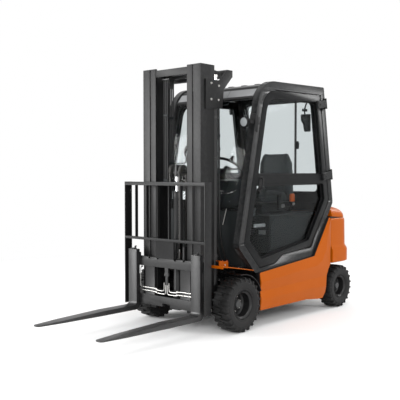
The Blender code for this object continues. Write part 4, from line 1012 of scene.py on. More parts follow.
def buildDoor(name, side):
    face = cabShape["face"] + cabShape["doorOut"]
    edge, low, high = roundCorners(doorEdge, 10), roundCorners(lowerWindow, 8), roundCorners(upperWindow, 12)
    door = plate([edge, low, high], "YZ", *spread(face - cabShape["doorDepth"], face, side))
    window = alongOutline(low + high)

    def share(a, b):
        return 1.0 if min(abs(a.x), abs(b.x)) > face - 0.001 and window(a, b) else 0.0

    softenEdges(door, 0.01, 1, weights=share)
    softenEdges(door, 0.0025, 3, 24)
    panel = f"door_{name}"
    settle(door, panel, doorGrey, [panel])
    # seals round both windows, and the sliding pane's divider and latch
    inner = cabShape["face"] - cabShape["doorDepth"]
    seals = []
    for corners in (lowerWindow, upperWindow):
        seals.append(plate([roundCorners(corners, 8), roundCorners(insetCorners(corners, cabShape["seal"]), 8)],
                           "YZ", *spread(inner - 0.0002, inner + 0.009, side), 0.0028, 3))
    low, high = upperWindow[0][1], upperWindow[2][1]
    seals.append(sideBlock((inner - 0.0002, inner + 0.012), (0.818, 0.834), (low + 0.006, high - 0.008), side,
                           0.003, 3))
    seals.append(sideBlock((inner - 0.0002, inner + 0.006), (0.84, 0.848), (low + 0.01, high - 0.01), side, 0.002))
    rubber = joined(f"door_seals_{name}", seals)
    settle(rubber, panel, sealRubber)
    latch = joined(f"window_latch_{name}", [
        sideBlock((inner + 0.004, inner + 0.018), (0.845, 0.868), (1.52, 1.59), side, 0.004, 3),
        sideBlock((inner + 0.014, inner + 0.024), (0.849, 0.864), (1.535, 1.575), side, 0.004, 3),
    ])
    settle(latch, panel, moulded)
    # the driver's pull, set into the front stile, with its lock
    pull = joined(f"door_pull_{name}", [
        plate([roundCorners([(0.236, 1.15, 0.012), (0.28, 1.15, 0.012), (0.305, 1.275, 0.012),
                             (0.261, 1.275, 0.012)])], "YZ", *spread(face - 0.004, face + 0.0025, side), 0.002, 2),
        tube([(side * (face + 0.002), axleY + 0.258, 1.165), (side * (face + 0.022), axleY + 0.262, 1.182),
              (side * (face + 0.024), axleY + 0.272, 1.215), (side * (face + 0.022), axleY + 0.279, 1.245),
              (side * (face + 0.002), axleY + 0.282, 1.262)], 0.0075, 14),
        bar(at(side * (face - 0.002), 0.262, 1.14), at(side * (face + 0.006), 0.262, 1.14), 0.009, 24, 0.001),
    ])
    settle(pull, panel, sealRubber)
    inside = tube([(side * (inner - 0.008), axleY + 0.35, 1.235), (side * (inner - 0.04), axleY + 0.36, 1.237),
                   (side * (inner - 0.044), axleY + 0.48, 1.24), (side * (inner - 0.04), axleY + 0.6, 1.243),
                   (side * (inner - 0.008), axleY + 0.61, 1.244)], 0.01, 14, name=f"door_grab_{name}")
    settle(inside, panel, sealRubber)
    # hinge leaves with their screws
    for k, z in enumerate(cabShape["hinges"]):
        y = rearPillar(z) - 0.006
        turn = Matrix.Translation(at(0, y, z)) @ Matrix.Rotation(math.atan(rearLean), 4, "X")
        leaf = [joined("leaf", [
            block((min(spread(face + 0.0045, face + 0.0235, side)), -0.15, -0.034),
                  (max(spread(face + 0.0045, face + 0.0235, side)), 0.006, 0.034), 0.005, 3),
            block((min(spread(face - 0.002, face + 0.0185, side)), -0.152, -0.036),
                  (max(spread(face - 0.002, face + 0.0185, side)), -0.084, 0.036), 0.006, 3),
            bar((side * (face + 0.0145), 0, -0.036), (side * (face + 0.0145), 0, 0.036), 0.0105, 28, 0.001),
        ])]
        for dy, dz in ((-0.134, 0.02), (-0.134, -0.02), (-0.104, 0.0)):
            leaf.append(bolt((side * (face + 0.0185 + (0.0045 if dy > -0.12 else 0.0045)), dy, dz), (side, 0, 0),
                             0.0055, 0.004))
        arm = joined(f"door_hinge_{name}_{k + 1}", leaf)
        arm.data.transform(turn)
        settle(arm, panel, cabGrey)
        knuckles = []
        for low in (0.0368, -0.0488):
            knuckleX = side * (cabShape["face"] + 0.0125)
            knuckles.append(bar((knuckleX, 0, low), (knuckleX, 0, low + 0.012), 0.0105, 28, 0.001))
            a, b = spread(cabShape["face"] - 0.002, cabShape["face"] + 0.012, side)
            knuckles.append(block((a, -0.01, low), (b, 0.01, low + 0.012), 0.002))
        post = joined(f"pillar_hinge_{name}_{k + 1}", knuckles)
        post.data.transform(turn)
        settle(post, "chassis", cabGrey)


twoSided(buildRing)
twoSided(buildDoor)
for node in ("door_glass_left", "door_glass_right", "windscreen", "rear_window"):
    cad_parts[node].data.materials.clear()
    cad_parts[node].data.materials.append(paneGlass)

roof = refine("cab_roof", 0.004, 3)
settle(roof, "chassis", cabGrey, ["cab_roof"])
rearFrame = refine("cab_rear_frame", 0.003, 2)
settle(rearFrame, "chassis", cabGrey, ["cab_rear_frame"])

roofTrim = {"ribs": (-0.3, -0.15, 0.0, 0.15, 0.3)}
visor = []
# a lighter moulded panel on the roof's sloping front, below its black lip
for low, high in ((-0.436, -0.152), (-0.146, 0.146), (0.152, 0.436)):
    visor.append(plate([roundCorners([(0.266, 1.953, 0.004), (0.32, 2.017, 0.004), (0.314, 2.022, 0.002),
                                      (0.259, 1.958, 0.002)])], "YZ", low, high, 0.0015))
settle(joined("roof_visor", visor), "chassis", headliner)
lip = plate([roundCorners([(0.252, 1.935, 0.002), (0.266, 1.9515, 0.002), (0.262, 1.956, 0.002),
                           (0.246, 1.938, 0.002)])],
            "YZ", -0.451, 0.451, 0.001)
lip.name = "windscreen_top_seal"
settle(lip, "chassis", sealRubber)
lining = [plate([roundCorners([(0.42, 2.028, 0.004), (1.19, 2.04, 0.004), (1.19, 2.048, 0.002),
                               (0.42, 2.036, 0.002)])], "YZ", -0.436, 0.436, 0.002)]
settle(joined("roof_lining", lining), "chassis", headliner)
ribs = []
for x in roofTrim["ribs"]:
    ribs.append(plate([roundCorners([(0.48, 2.0765, 0.002), (1.205, 2.0925, 0.002), (1.195, 2.1015, 0.004),
                                     (0.49, 2.086, 0.004)])], "YZ", x - 0.022, x + 0.022, 0.003, 3))
settle(joined("roof_ribs", ribs), "chassis", cabGrey)


def screenSeal(low, high, half):
    # rubber round the windscreen, leaning with the front pillars
    turn = math.atan(windowLean)
    height = (high - low) / math.cos(turn)
    ring = plate([
        roundCorners([(-half, 0, 0.004), (half, 0, 0.004), (half, height, 0.004), (-half, height, 0.004)]),
        roundCorners([(-half + 0.016, 0.016, 0.02), (half - 0.016, 0.016, 0.02), (half - 0.016, height - 0.016, 0.02),
                      (-half + 0.016, height - 0.016, 0.02)]),
    ], "XZ", -0.004, 0.01, 0.002)
    ring.data.transform(Matrix.Translation(at(0, frontPillar(low, 0.03), low)) @ Matrix.Rotation(-turn, 4, "X")
                        @ Matrix.Translation((0, -axleY, 0)))
    ring.name = "windscreen_seal"
    return settle(ring, "chassis", sealRubber)


screenSeal(0.987, 1.943, 0.451)
wiperFoot = Vector(at(-0.06, frontPillar(1.0, 0.014), 1.0))
wiperHead = Vector(at(0.1, frontPillar(1.4, 0.016), 1.4))
wiper = joined("front_wiper", [
    tube([wiperFoot, wiperFoot.lerp(wiperHead, 0.5) + Vector((0, -0.006, 0)), wiperHead], 0.0055, 12),
    bar(wiperFoot + Vector((0, 0.02, 0)), wiperFoot + Vector((0, -0.01, 0)), 0.016, 28, 0.002),
    tube([wiperHead + Vector((-0.045, -0.018 + 0.008, -0.115)), wiperHead + Vector((0, 0.006, 0)),
          wiperHead + Vector((0.045, 0.041, 0.115))], 0.0045, 10),
])
settle(wiper, "chassis", sealRubber)

# working lamps, mirrors and grab handles on the front pillars
lampShape = {"centre": (0.458, 0.158, 1.728), "radius": 0.04, "mirror": (0.268, 1.72), "mirrorX": 0.5}


def buildLamp(name, side):
    x, y, z = lampShape["centre"]
    centre = at(side * x, y - 0.02, z)
    r = lampShape["radius"]
    shell = lathe([(r * 0.93, 0.034), (r, 0.038), (r, 0.028), (r * 0.97, 0.01), (r * 0.8, -0.012), (r * 0.45, -0.026),
                   (0, -0.028)], centre, (0, -1, -0.06), 56)
    fins = [lathe([(r * 0.7, -0.018 - 0.005 * i), (r * 0.88 - 0.005 * i, -0.018 - 0.005 * i),
                   (r * 0.88 - 0.005 * i, -0.0205 - 0.005 * i), (r * 0.7, -0.0205 - 0.005 * i)],
                  centre, (0, -1, -0.06), 40) for i in range(3)]
    bracket = joined("bracket", [
        sideBlock((x - 0.032, x - 0.028), (y - 0.022, y + 0.01), (z - 0.06, z + 0.01), side, 0.001),
        sideBlock((x + 0.041, x + 0.045), (y - 0.03, y + 0.15), (z - 0.014, z + 0.014), side, 0.001),
        sideBlock((x + 0.018, x + 0.045), (y + 0.1, y + 0.135), (z - 0.012, z + 0.012), side, 0.001),
        bar(at(side * (x + 0.036), y - 0.018, z), at(side * (x + 0.05), y - 0.018, z), 0.008, 20, 0.001),
    ])
    housing = joined(f"work_lamp_{name}", [shell, bracket] + fins)
    settle(housing, "chassis", sealRubber)
    glass = lathe([(0, 0.035), (r * 0.35, 0.0345), (r * 0.7, 0.033), (r * 0.92, 0.03), (r * 0.92, 0.024), (0, 0.024)],
                  centre, (0, -1, -0.06), 48)
    glass.name = f"work_lamp_lens_{name}"
    settle(glass, "chassis", lampLens)


def buildMirror(name, side):
    y, z = lampShape["mirror"]
    x = lampShape["mirrorX"]
    shell = plate([roundCorners([(-0.052, -0.082, 0.022), (0.03, -0.082, 0.022), (0.034, 0.08, 0.026),
                                 (-0.05, 0.082, 0.026)], 6)], "XZ", -0.016, 0.016, 0.007, 4)
    face = plate([roundCorners([(-0.046, -0.075, 0.018), (0.024, -0.075, 0.018), (0.028, 0.073, 0.022),
                                (-0.044, 0.075, 0.022)], 6)], "XZ", 0.014, 0.0175, 0.001, 2)
    for piece in (shell, face):
        piece.data.transform(Matrix.Translation((0, -axleY, 0)))
        turn = Matrix.Rotation(side * math.radians(-16), 4, "Z") @ Matrix.Diagonal((side, 1, 1, 1))
        piece.data.transform(Matrix.Translation(at(side * (x - 0.012), y - 0.052, z)) @ turn)
        if side < 0:
            piece.data.flip_normals()
    arm = joined("arm", [
        tube([at(side * x, y - 0.05, z + 0.03), at(side * (x + 0.006), y - 0.02, z + 0.028),
              at(side * (x + 0.004), frontPillar(z + 0.02, 0.03), z + 0.02)], 0.007, 12),
        sideBlock((0.505, 0.519), (frontPillar(z + 0.02, 0.018), frontPillar(z + 0.02, 0.052)), (z - 0.012, z + 0.052),
                  side, 0.003),
    ])
    housing = joined(f"mirror_{name}", [shell, arm])
    settle(housing, "chassis", sealRubber)
    face.name = f"mirror_glass_{name}"
    settle(face, "chassis", chromeSteel)


twoSided(buildLamp)
twoSided(buildMirror)


def buildGrabBar(name, side):
    # on the inside of each front pillar, reached through the open door
    x = 0.462
    low, high = 1.18, 1.56
    grip = tube([at(side * x, frontPillar(low, 0.062), low), at(side * (x - 0.02), frontPillar(low, 0.095), low + 0.02),
                 at(side * (x - 0.02), frontPillar(1.37, 0.1), 1.37),
                 at(side * (x - 0.02), frontPillar(high, 0.095), high - 0.02),
                 at(side * x, frontPillar(high, 0.062), high)], 0.011, 16, name=f"grab_bar_{name}")
    settle(grip, "chassis", sealRubber)


twoSided(buildGrabBar)
print("cab built")


# driver's place
seatShape = {
    "voxel": 0.0055, "pressure": 4.0, "frames": 16, "cushionCap": 0.022, "backCap": 0.02,
}


def stuffed(node, start, cap, name, frozen):
    # blows a remeshed pad up a little as cloth, keeps each point near where it began and rounds it off
    pad = start
    remesh = pad.modifiers.new("remesh", "REMESH")
    remesh.mode = "VOXEL"
    remesh.voxel_size = seatShape["voxel"] * 1.0
    applyAll(pad)
    began = [v.co.copy() for v in pad.data.vertices]
    cloth = pad.modifiers.new("fill", "CLOTH")
    cloth.settings.use_pressure = True
    cloth.settings.uniform_pressure_force = seatShape["pressure"]
    cloth.settings.tension_stiffness = 28
    cloth.settings.compression_stiffness = 28
    cloth.settings.bending_stiffness = 2.5
    cloth.settings.quality = 4
    cloth.settings.effector_weights.gravity = 0
    cloth.point_cache.frame_end = seatShape["frames"]
    group = pad.vertex_groups.new(name="held")
    group.add([v.index for v in pad.data.vertices if frozen(v.co)], 1.0, "REPLACE")
    cloth.settings.vertex_group_mass = "held"
    for step in range(1, seatShape["frames"] + 1):
        bpy.context.scene.frame_set(step)
    applyAll(pad)
    bpy.context.scene.frame_set(1)
    for v, was in zip(pad.data.vertices, began):
        move = v.co - was
        if move.length > cap:
            v.co = was + move * (cap / move.length)
    pad.vertex_groups.clear()
    relax = pad.modifiers.new("relax", "SMOOTH")
    relax.factor = 0.5
    relax.iterations = 3
    finer = pad.modifiers.new("finer", "SUBSURF")
    finer.levels = 1
    applyAll(pad)
    pad.name = name
    pad.data.shade_smooth()
    settle(pad, "chassis", seatVinyl, [node])
    return pad


def padBody(stations):
    # a closed form through rings of points, for a cushion or a back
    count = len(stations[0])
    verts = [p for ring in stations for p in ring]
    faces = [tuple(range(count))[::-1], tuple((len(stations) - 1) * count + k for k in range(count))]
    for i in range(len(stations) - 1):
        for k in range(count):
            after = (k + 1) % count
            faces.append((i * count + k, i * count + after, (i + 1) * count + after, (i + 1) * count + k))
    piece = newPiece("pad", verts, faces)
    bm = bmesh.new()
    bm.from_mesh(piece.data)
    bmesh.ops.recalc_face_normals(bm, faces=bm.faces)
    bmesh.ops.triangulate(bm, faces=[f for f in bm.faces if len(f.verts) > 4])
    bm.to_mesh(piece.data)
    bm.free()
    return piece


def cushionRing(x, drop, bottom=1.0385):
    # side view of the cushion at a place across it: the front edge rolls down and the middle dips
    profile = [(0.664, 1.062), (0.672, 1.1), (0.7, 1.126), (0.76, 1.136), (0.86, 1.13), (0.96, 1.122),
               (1.04, 1.118), (1.072, 1.106), (1.08, 1.07), (1.078, bottom), (0.88, bottom), (0.69, bottom)]
    return [at(x, y, max(z - (drop if z > 1.08 else 0.0), bottom)) for y, z in profile]


cushion = padBody([cushionRing(x, drop) for x, drop in (
    (-0.216, 0.016), (-0.2, 0.0), (-0.176, -0.002), (-0.156, 0.006), (-0.142, 0.02), (-0.126, 0.013), (-0.06, 0.015),
    (0.06, 0.015), (0.126, 0.013), (0.142, 0.02), (0.156, 0.006), (0.176, -0.002), (0.2, 0.0), (0.216, 0.016))])
stuffed("seat_cushion", cushion, seatShape["cushionCap"], "seat_cushion_pad", lambda co: co.z < 1.043)


def backRing(x, thin):
    # side view of the backrest, with a lumbar swell and a slim top
    profile = [(1.128, 1.046), (1.12, 1.11), (1.1165, 1.2), (1.12, 1.3), (1.126, 1.4), (1.136, 1.47),
               (1.156, 1.496), (1.182, 1.486), (1.19, 1.4), (1.19, 1.25), (1.19, 1.1), (1.188, 1.046)]
    return [at(x, y + (thin if y < 1.15 else 0.0), z) for y, z in profile]


back = padBody([backRing(x, thin) for x, thin in (
    (-0.19, 0.03), (-0.178, 0.004), (-0.156, -0.004), (-0.138, 0.003), (-0.124, 0.018), (-0.11, 0.01), (-0.045, 0.01),
    (0.045, 0.01), (0.11, 0.01), (0.124, 0.018), (0.138, 0.003), (0.156, -0.004), (0.178, 0.004), (0.19, 0.03))])
for v in back.data.vertices:
    # the shoulders draw in towards a rounded top
    high = min(max((v.co.z - 1.1) / 0.39, 0.0), 1.0)
    top = max(v.co.z - 1.4, 0.0) / 0.095
    v.co.x = 0.025 + v.co.x * (1 - 0.1 * high - 0.22 * top * top)
stuffed("seat_back", back, seatShape["backCap"], "seat_back_pad", lambda co: co.y - axleY > 1.186)


shell = plate([roundCorners([(-0.15, 1.05, 0.04), (0.2, 1.05, 0.04), (0.165, 1.472, 0.09), (-0.115, 1.472, 0.09)], 8)],
              "XZ", 1.196, 1.212, 0.006, 3)
shell.name = "seat_back_shell"
settle(shell, "chassis", moulded)
seatBase = refine("seat_base", 0.008, 3)
settle(seatBase, "chassis", moulded, ["seat_base"])
bellows = joined("seat_bellows", [
    block(at(-0.185 + 0.006 * (i % 2), 0.705 + 0.006 * (i % 2), 0.94 + i * 0.01),
          at(0.185 - 0.006 * (i % 2), 1.15 - 0.006 * (i % 2), 0.9495 + i * 0.01), 0.003) for i in range(8)])
settle(bellows, "chassis", sealRubber)
slides = joined("seat_slides", [sideBlock((0.17, 0.198), (0.668, 1.13), (1.015, 1.03), side, 0.003) for side in (-1, 1)]
                + [tube([at(-0.15, 0.672, 1.022), at(-0.15, 0.64, 1.02), at(0.15, 0.64, 1.02), at(0.15, 0.672, 1.022)],
                        0.0055, 12, curved=False)])
settle(slides, "chassis", mouldedLightAndRimHighlight)

# belt: the orange buckle on its stalk and the webbing's reel on the door side
buckle = joined("belt_buckle", [
    block(at(0.238, 1.085, 1.03), at(0.262, 1.145, 1.098), 0.006, 3),
    block(at(0.241, 1.093, 1.096), at(0.259, 1.137, 1.106), 0.003, 2),
])
settle(buckle, "chassis", beltOrange)
stalk = joined("belt_stalk", [
    tube([at(0.226, 1.1, 0.96), at(0.246, 1.108, 1.0), at(0.25, 1.114, 1.04)], 0.008, 14),
    block(at(0.2, 1.076, 0.935), at(0.226, 1.13, 0.985), 0.004, 3),
])
settle(stalk, "chassis", sealRubber)
reel = joined("belt_reel", [
    bar(at(-0.226, 1.07, 1.01), at(-0.256, 1.07, 1.01), 0.032, 36, 0.004),
    block(at(-0.25, 1.046, 0.962), at(-0.228, 1.094, 1.01), 0.005, 3),
])
settle(reel, "chassis", moulded)

# levers, armrest and side console
consoleFine = refine("armrest_console", 0.01, 4)
settle(consoleFine, "chassis", moulded, ["armrest_console"])
armrest = joined("armrest_pad", [
    block(at(-0.4, 0.77, 1.196), at(-0.284, 1.04, 1.236), 0.016, 5),
])
settle(armrest, "chassis", seatVinyl)
levers = []
knobs = []
for i in range(4):
    x = -0.392 + i * 0.034
    levers.append(lathe([(0.013, 0.0), (0.013, 0.004), (0.009, 0.008), (0.0095, 0.011), (0.006, 0.015), (0.0062, 0.018),
                         (0.004, 0.022), (0, 0.022)], at(x, 0.69, 1.2115), (0, 0, 1), 24))
    levers.append(bar(at(x, 0.69, 1.225), at(x, 0.68, 1.268), 0.0042, 16))
    knobs.append(lathe([(0, -0.004), (0.006, -0.003), (0.01, 0.008), (0.0105, 0.018), (0.007, 0.025), (0, 0.026)],
                       at(x, 0.68, 1.266), (0, -0.2, 1), 24))
settle(joined("lever_stems", levers), "chassis", sealRubber)
settle(joined("lever_knobs", knobs), "chassis", moulded)
panel = joined("console_switches", [
    block(at(-0.4, 0.725, 1.2065), at(-0.284, 0.762, 1.2115), 0.002),
    bar(at(-0.38, 0.744, 1.209), at(-0.38, 0.744, 1.2165), 0.009, 24, 0.001),
    block(at(-0.356, 0.736, 1.2105), at(-0.34, 0.752, 1.215), 0.002),
    block(at(-0.33, 0.736, 1.2105), at(-0.314, 0.752, 1.215), 0.002),
])
settle(panel, "chassis", mouldedLightAndRimHighlight)
stop = bar(at(-0.298, 0.744, 1.209), at(-0.298, 0.744, 1.222), 0.011, 28, 0.002, name="stop_button")
settle(stop, "chassis", tailLens)

# battery hood: side trims, vent slots and latch
hood = refine("battery_hood", 0.012, 4)
settle(hood, "chassis", moulded, ["battery_hood"])
hoodTrim = []
for side in (-1, 1):
    hoodTrim.append(plate([roundCorners([(0.505, 0.636, 0.012), (1.07, 0.676, 0.012), (1.205, 0.905, 0.02),
                                         (0.56, 0.905, 0.03), (0.505, 0.85, 0.02)])],
                          "YZ", *spread(0.438, 0.4465, side), 0.003, 3))
settle(joined("hood_sides", hoodTrim), "chassis", moulded)
# flat black slots on the hood's side trims stand in for vent openings: painted shade, no opening is cut
slots = []
for side in (-1, 1):
    for i in range(6):
        slots.append(plate([roundCorners([(0.9 + i * 0.03, 0.79, 0.004), (0.914 + i * 0.03, 0.79, 0.004),
                                          (0.934 + i * 0.03, 0.868, 0.004), (0.92 + i * 0.03, 0.868, 0.004)])],
                           "YZ", *spread(0.4455, 0.4472, side), 0.0005))
settle(joined("hood_vent_painted_shade", slots), "chassis", sealRubber)
latch = joined("hood_latch", [
    block(at(0.43, 0.27, 0.838), at(0.446, 0.43, 0.868), 0.006, 3),
    block(at(0.32, 0.4945, 0.76), at(0.4, 0.5, 0.8), 0.002),
])
settle(latch, "chassis", headliner)
pod = joined("armrest_pod", [
    lathe([(0, 0.016), (0.03, 0.016), (0.04, 0.02), (0.052, 0.021), (0.06, 0.014), (0.062, 0.0), (0.058, -0.02),
           (0, -0.02)], at(0.282, 0.59, 1.12), (1, 0, 0), 56),
    sideBlock((0.262, 0.292), (0.64, 0.9), (1.098, 1.13), 1, 0.008, 3),
    sideBlock((0.25, 0.28), (0.86, 0.9), (0.96, 1.11), 1, 0.006, 3),
])
settle(pod, "chassis", moulded)
# a small light dot on the pod's face, and a thin light ring round its rim that is a painted highlight
podDotAndRimHighlight = joined("armrest_pod_dot_and_rim_highlight", [
    bar(at(0.297, 0.562, 1.118), at(0.3005, 0.562, 1.118), 0.005, 20),
    lathe([(0.0595, 0.015), (0.0612, 0.012), (0.062, 0.015), (0.0602, 0.017), (0.0595, 0.015)],
          at(0.282, 0.59, 1.12), (1, 0, 0), 56),
])
settle(podDotAndRimHighlight, "chassis", mouldedLightAndRimHighlight)
parkKnob = joined("park_knob", [
    lathe([(0, 0), (0.01, 0.001), (0.013, 0.012), (0.011, 0.024), (0, 0.026)], at(0.25, 1.128, 0.996), (0.6, 0, 1), 28),
])
settle(parkKnob, "chassis", whiteMarks)
adjuster = plate([roundCorners([(0.965, 0.972, 0.004), (1.04, 0.978, 0.008), (1.032, 1.008, 0.008),
                                (0.998, 1.006, 0.01)])],
                 "YZ", 0.205, 0.222, 0.004, 3)
adjuster.name = "seat_adjuster"
settle(adjuster, "chassis", zincSteel)
speaker = joined("cab_speaker", [
    plate([roundCorners([(1.065, 1.85, 0.012), (1.205, 1.862, 0.012), (1.205, 1.695, 0.012), (1.125, 1.69, 0.02),
                         (1.105, 1.76, 0.02), (1.07, 1.79, 0.015)])], "YZ", 0.372, 0.398, 0.006, 3),
    tube([at(0.385, 1.12, 1.85), at(0.385, 1.118, 1.9), at(0.4, 1.13, 1.96), at(0.43, 1.15, 2.0)], 0.007, 12),
    block(at(0.37, 1.09, 1.88), at(0.4, 1.145, 1.905), 0.006, 3),
])
settle(speaker, "chassis", moulded)
# a thin zinc rod running down the front cowl
cowlRod = bar(at(0.335, 0.034, 1.005), at(0.285, 0.046, 0.868), 0.0035, 16, name="cowl_zinc_rod")
settle(cowlRod, "chassis", zincSteel)

# dash, display, steering wheel, pedals and floor mat
dash = refine("dash_cowl", 0.006, 3)
settle(dash, "chassis", moulded, ["dash_cowl"])
wheelHub = Vector(at(0.0, 0.455, 1.345))
wheelTilt = math.radians(38)
wheelUp = Vector((0, math.sin(wheelTilt), math.cos(wheelTilt)))
face = Matrix.Translation(wheelHub) @ wheelUp.to_track_quat("Z", "Y").to_matrix().to_4x4()
ring = []
for i in range(72):
    angle = 2 * math.pi * i / 72
    ring.append(face @ Vector((0.145 * math.cos(angle), 0.145 * math.sin(angle), 0)))
rim = tube(ring, 0.0128, 18, curved=False, closed=True)
spokes = []
for angle in (0, 180, 270):
    a = math.radians(angle)
    out = Vector((math.cos(a), math.sin(a), 0))
    spokes.append(tube([face @ (out * 0.028 + Vector((0, 0, -0.006))), face @ (out * 0.08 + Vector((0, 0, -0.01))),
                        face @ (out * 0.14)], 0.0082, 14))
boss = lathe([(0, -0.029), (0.033, -0.029), (0.036, -0.018), (0.036, 0.0), (0.031, 0.007), (0.018, 0.01), (0, 0.0105)],
             wheelHub, wheelUp, 48)
knobSpot = face @ Vector((-0.098, 0.098, 0.016))
knob = lathe([(0.004, -0.014), (0.006, 0.002), (0.017, 0.006), (0.021, 0.02), (0.019, 0.036), (0.01, 0.044),
              (0, 0.045)], knobSpot, wheelUp, 36)
settle(joined("steering_wheel_rim", [rim, boss, knob] + spokes), "steering_wheel", sealRubber,
       ["steering_wheel"])
columnLever = joined("direction_lever", [
    tube([wheelHub - wheelUp * 0.07, wheelHub - wheelUp * 0.066 + Vector((-0.075, 0, 0.004)),
          wheelHub - wheelUp * 0.058 + Vector((-0.135, 0, 0.012))], 0.005, 12),
    lathe([(0, 0), (0.009, 0.002), (0.011, 0.018), (0.008, 0.03), (0, 0.031)],
          wheelHub - wheelUp * 0.058 + Vector((-0.13, 0, 0.011)), (-1, 0, 0.1), 24),
    bar(wheelHub - wheelUp * 0.032, wheelHub - wheelUp * 0.11, 0.043, 40, 0.006),
])
settle(columnLever, "chassis", sealRubber)
screen = plate([roundCorners([(-0.09, -0.052, 0.01), (0.09, -0.052, 0.01), (0.09, 0.052, 0.01),
                              (-0.09, 0.052, 0.01)])], "XZ", -0.01, 0.01, 0.003, 3)
glass = plate([roundCorners([(-0.078, -0.042, 0.006), (0.078, -0.042, 0.006), (0.078, 0.042, 0.006),
                             (-0.078, 0.042, 0.006)])], "XZ", 0.0085, 0.0115, 0.0006)
for piece in (screen, glass):
    piece.data.transform(Matrix.Translation(at(0.0, 0.318, 1.292)) @ Matrix.Rotation(math.radians(38), 4, "X")
                         @ Matrix.Translation((0, -axleY, 0)))
screen.name, glass.name = "display_case", "display_glass"
settle(screen, "chassis", moulded)
settle(glass, "chassis", displayGlass)
neck = bar(at(0.0, 0.3, 1.225), at(0.0, 0.312, 1.27), 0.02, 28, 0.002, name="display_neck")
settle(neck, "chassis", moulded)
vents = []
for side in (-1, 1):
    for i in range(2):
        spot = at(side * (0.29 + i * 0.09), frontPillar(0.985, 0.046), 0.985)
        vents.append(lathe([(0, 0.001), (0.022, 0.001), (0.03, 0.001), (0.03, 0.008), (0.026, 0.01), (0.023, 0.006),
                            (0, 0.005)], spot, (0, 0.35, 1), 32))
        for k in (-1, 0, 1):
            vents.append(block(Vector(spot) + Vector((-0.022, k * 0.011 - 0.002, 0.004)),
                               Vector(spot) + Vector((0.022, k * 0.011 + 0.002, 0.01)), 0.0006))
settle(joined("dash_vents", vents), "chassis", sealRubber)
pods = []
for side in (-1, 1):
    pods.append(plate([roundCorners([(0.15, 0.87, 0.02), (0.245, 0.88, 0.03), (0.262, 0.965, 0.03), (0.24, 1.016, 0.02),
                                     (0.165, 0.998, 0.02)])], "YZ", *spread(0.235, 0.44, side), 0.01, 4))
settle(joined("dash_side_pods", pods), "chassis", moulded)
cup = joined("cup_holder", [
    lathe([(0.026, 0.0), (0.03, 0.004), (0.036, 0.062), (0.04, 0.064), (0.04, 0.068), (0.033, 0.068), (0.028, 0.01),
           (0, 0.01), (0, 0), (0.026, 0.0)], at(0.4, 0.29, 0.935), (0, 0, 1), 40),
])
settle(cup, "chassis", mouldedLightAndRimHighlight)
mat = []
for i in range(22):
    y = 0.07 + i * 0.0185
    mat.append(block(at(-0.42, y, 0.5265), at(0.42, y + 0.009, 0.5315), 0.0015))
mat.append(block(at(-0.428, 0.06, 0.5262), at(0.428, 0.48, 0.5292), 0.001))
settle(joined("floor_mat", mat), "chassis", sealRubber)
floorFine = refine("floor_plate", 0.0015)
settle(floorFine, "chassis", frameBlack, ["floor_plate"])
pedals = []
for x, wide in ((-0.235, 0.036), (-0.115, 0.05)):
    pad = plate([roundCorners([(-wide, -0.055, 0.012), (wide, -0.055, 0.012), (wide, 0.055, 0.012),
                               (-wide, 0.055, 0.012)])],
                "XZ", -0.006, 0.006, 0.003, 3)
    grips = [plate([roundCorners([(-wide + 0.008, z, 0.002), (wide - 0.008, z, 0.002), (wide - 0.008, z + 0.006, 0.002),
                                  (-wide + 0.008, z + 0.006, 0.002)])], "XZ", 0.004, 0.009, 0.001)
             for z in (-0.042, -0.027, -0.012, 0.003, 0.018, 0.033)]
    pad = joined("pad", [pad] + grips)
    pad.data.transform(Matrix.Translation(at(x, 0.225, 0.64)) @ Matrix.Rotation(math.radians(42), 4, "X")
                       @ Matrix.Translation((0, -axleY, 0)))
    arm = tube([at(x, 0.15, 0.76), at(x, 0.19, 0.715), at(x, 0.22, 0.65)], 0.008, 14)
    pedals += [pad, arm]
settle(joined("pedals", pedals), "chassis", sealRubber)

# what hangs inside the roof: lamp, sun visor and mirror
visorPad = joined("sun_visor", [
    plate([roundCorners([(0.33, 1.905, 0.006), (0.342, 1.905, 0.006), (0.42, 2.02, 0.006), (0.408, 2.022, 0.006)])],
          "YZ", -0.33, 0.1, 0.004, 3),
])
settle(visorPad, "chassis", moulded)
roofLamp = plate([roundCorners([(-0.075, 0.7, 0.012), (0.075, 0.7, 0.012), (0.075, 0.76, 0.012),
                                (-0.075, 0.76, 0.012)])],
                 "XY", 2.016, 2.034, 0.004, 3)
roofLamp.name = "roof_lamp"
settle(roofLamp, "chassis", lampLens)
insideMirror = joined("inside_mirror", [
    plate([roundCorners([(-0.3, 1.85, 0.02), (-0.15, 1.85, 0.02), (-0.15, 1.905, 0.02), (-0.3, 1.905, 0.02)])],
          "XZ", 0.35, 0.366, 0.004, 3),
    tube([at(-0.225, 0.356, 1.9), at(-0.225, 0.366, 1.96), at(-0.225, 0.4, 2.03)], 0.006, 12),
])
settle(insideMirror, "chassis", sealRubber)
# the far side's trim shows through the glass: a fan on its bracket
fan = [lathe([(0.05, -0.012), (0.055, -0.012), (0.055, 0.012), (0.05, 0.012), (0.05, -0.012)], at(-0.38, 0.33, 1.5),
             (0.4, 1, 0), 48),
       lathe([(0, -0.004), (0.016, -0.002), (0.016, 0.016), (0, 0.018)], at(-0.38, 0.33, 1.5), (0.4, 1, 0), 28),
       tube([at(-0.38, 0.32, 1.45), at(-0.384, 0.3, 1.4), at(-0.415, 0.25, 1.39), at(-0.448, 0.215, 1.385)], 0.007, 12)]
for i in range(5):
    a = 2 * math.pi * i / 5
    blade = block((-0.006, 0.014, -0.001), (0.014, 0.047, 0.001), 0.0006)
    axis = Vector((0.4, 1, 0)).to_track_quat("Z", "Y").to_matrix().to_4x4()
    blade.data.transform(Matrix.Translation(at(-0.38, 0.33, 1.5)) @ axis @ Matrix.Rotation(a, 4, "Z")
                         @ Matrix.Rotation(0.5, 4, "Y"))
    fan.append(blade)
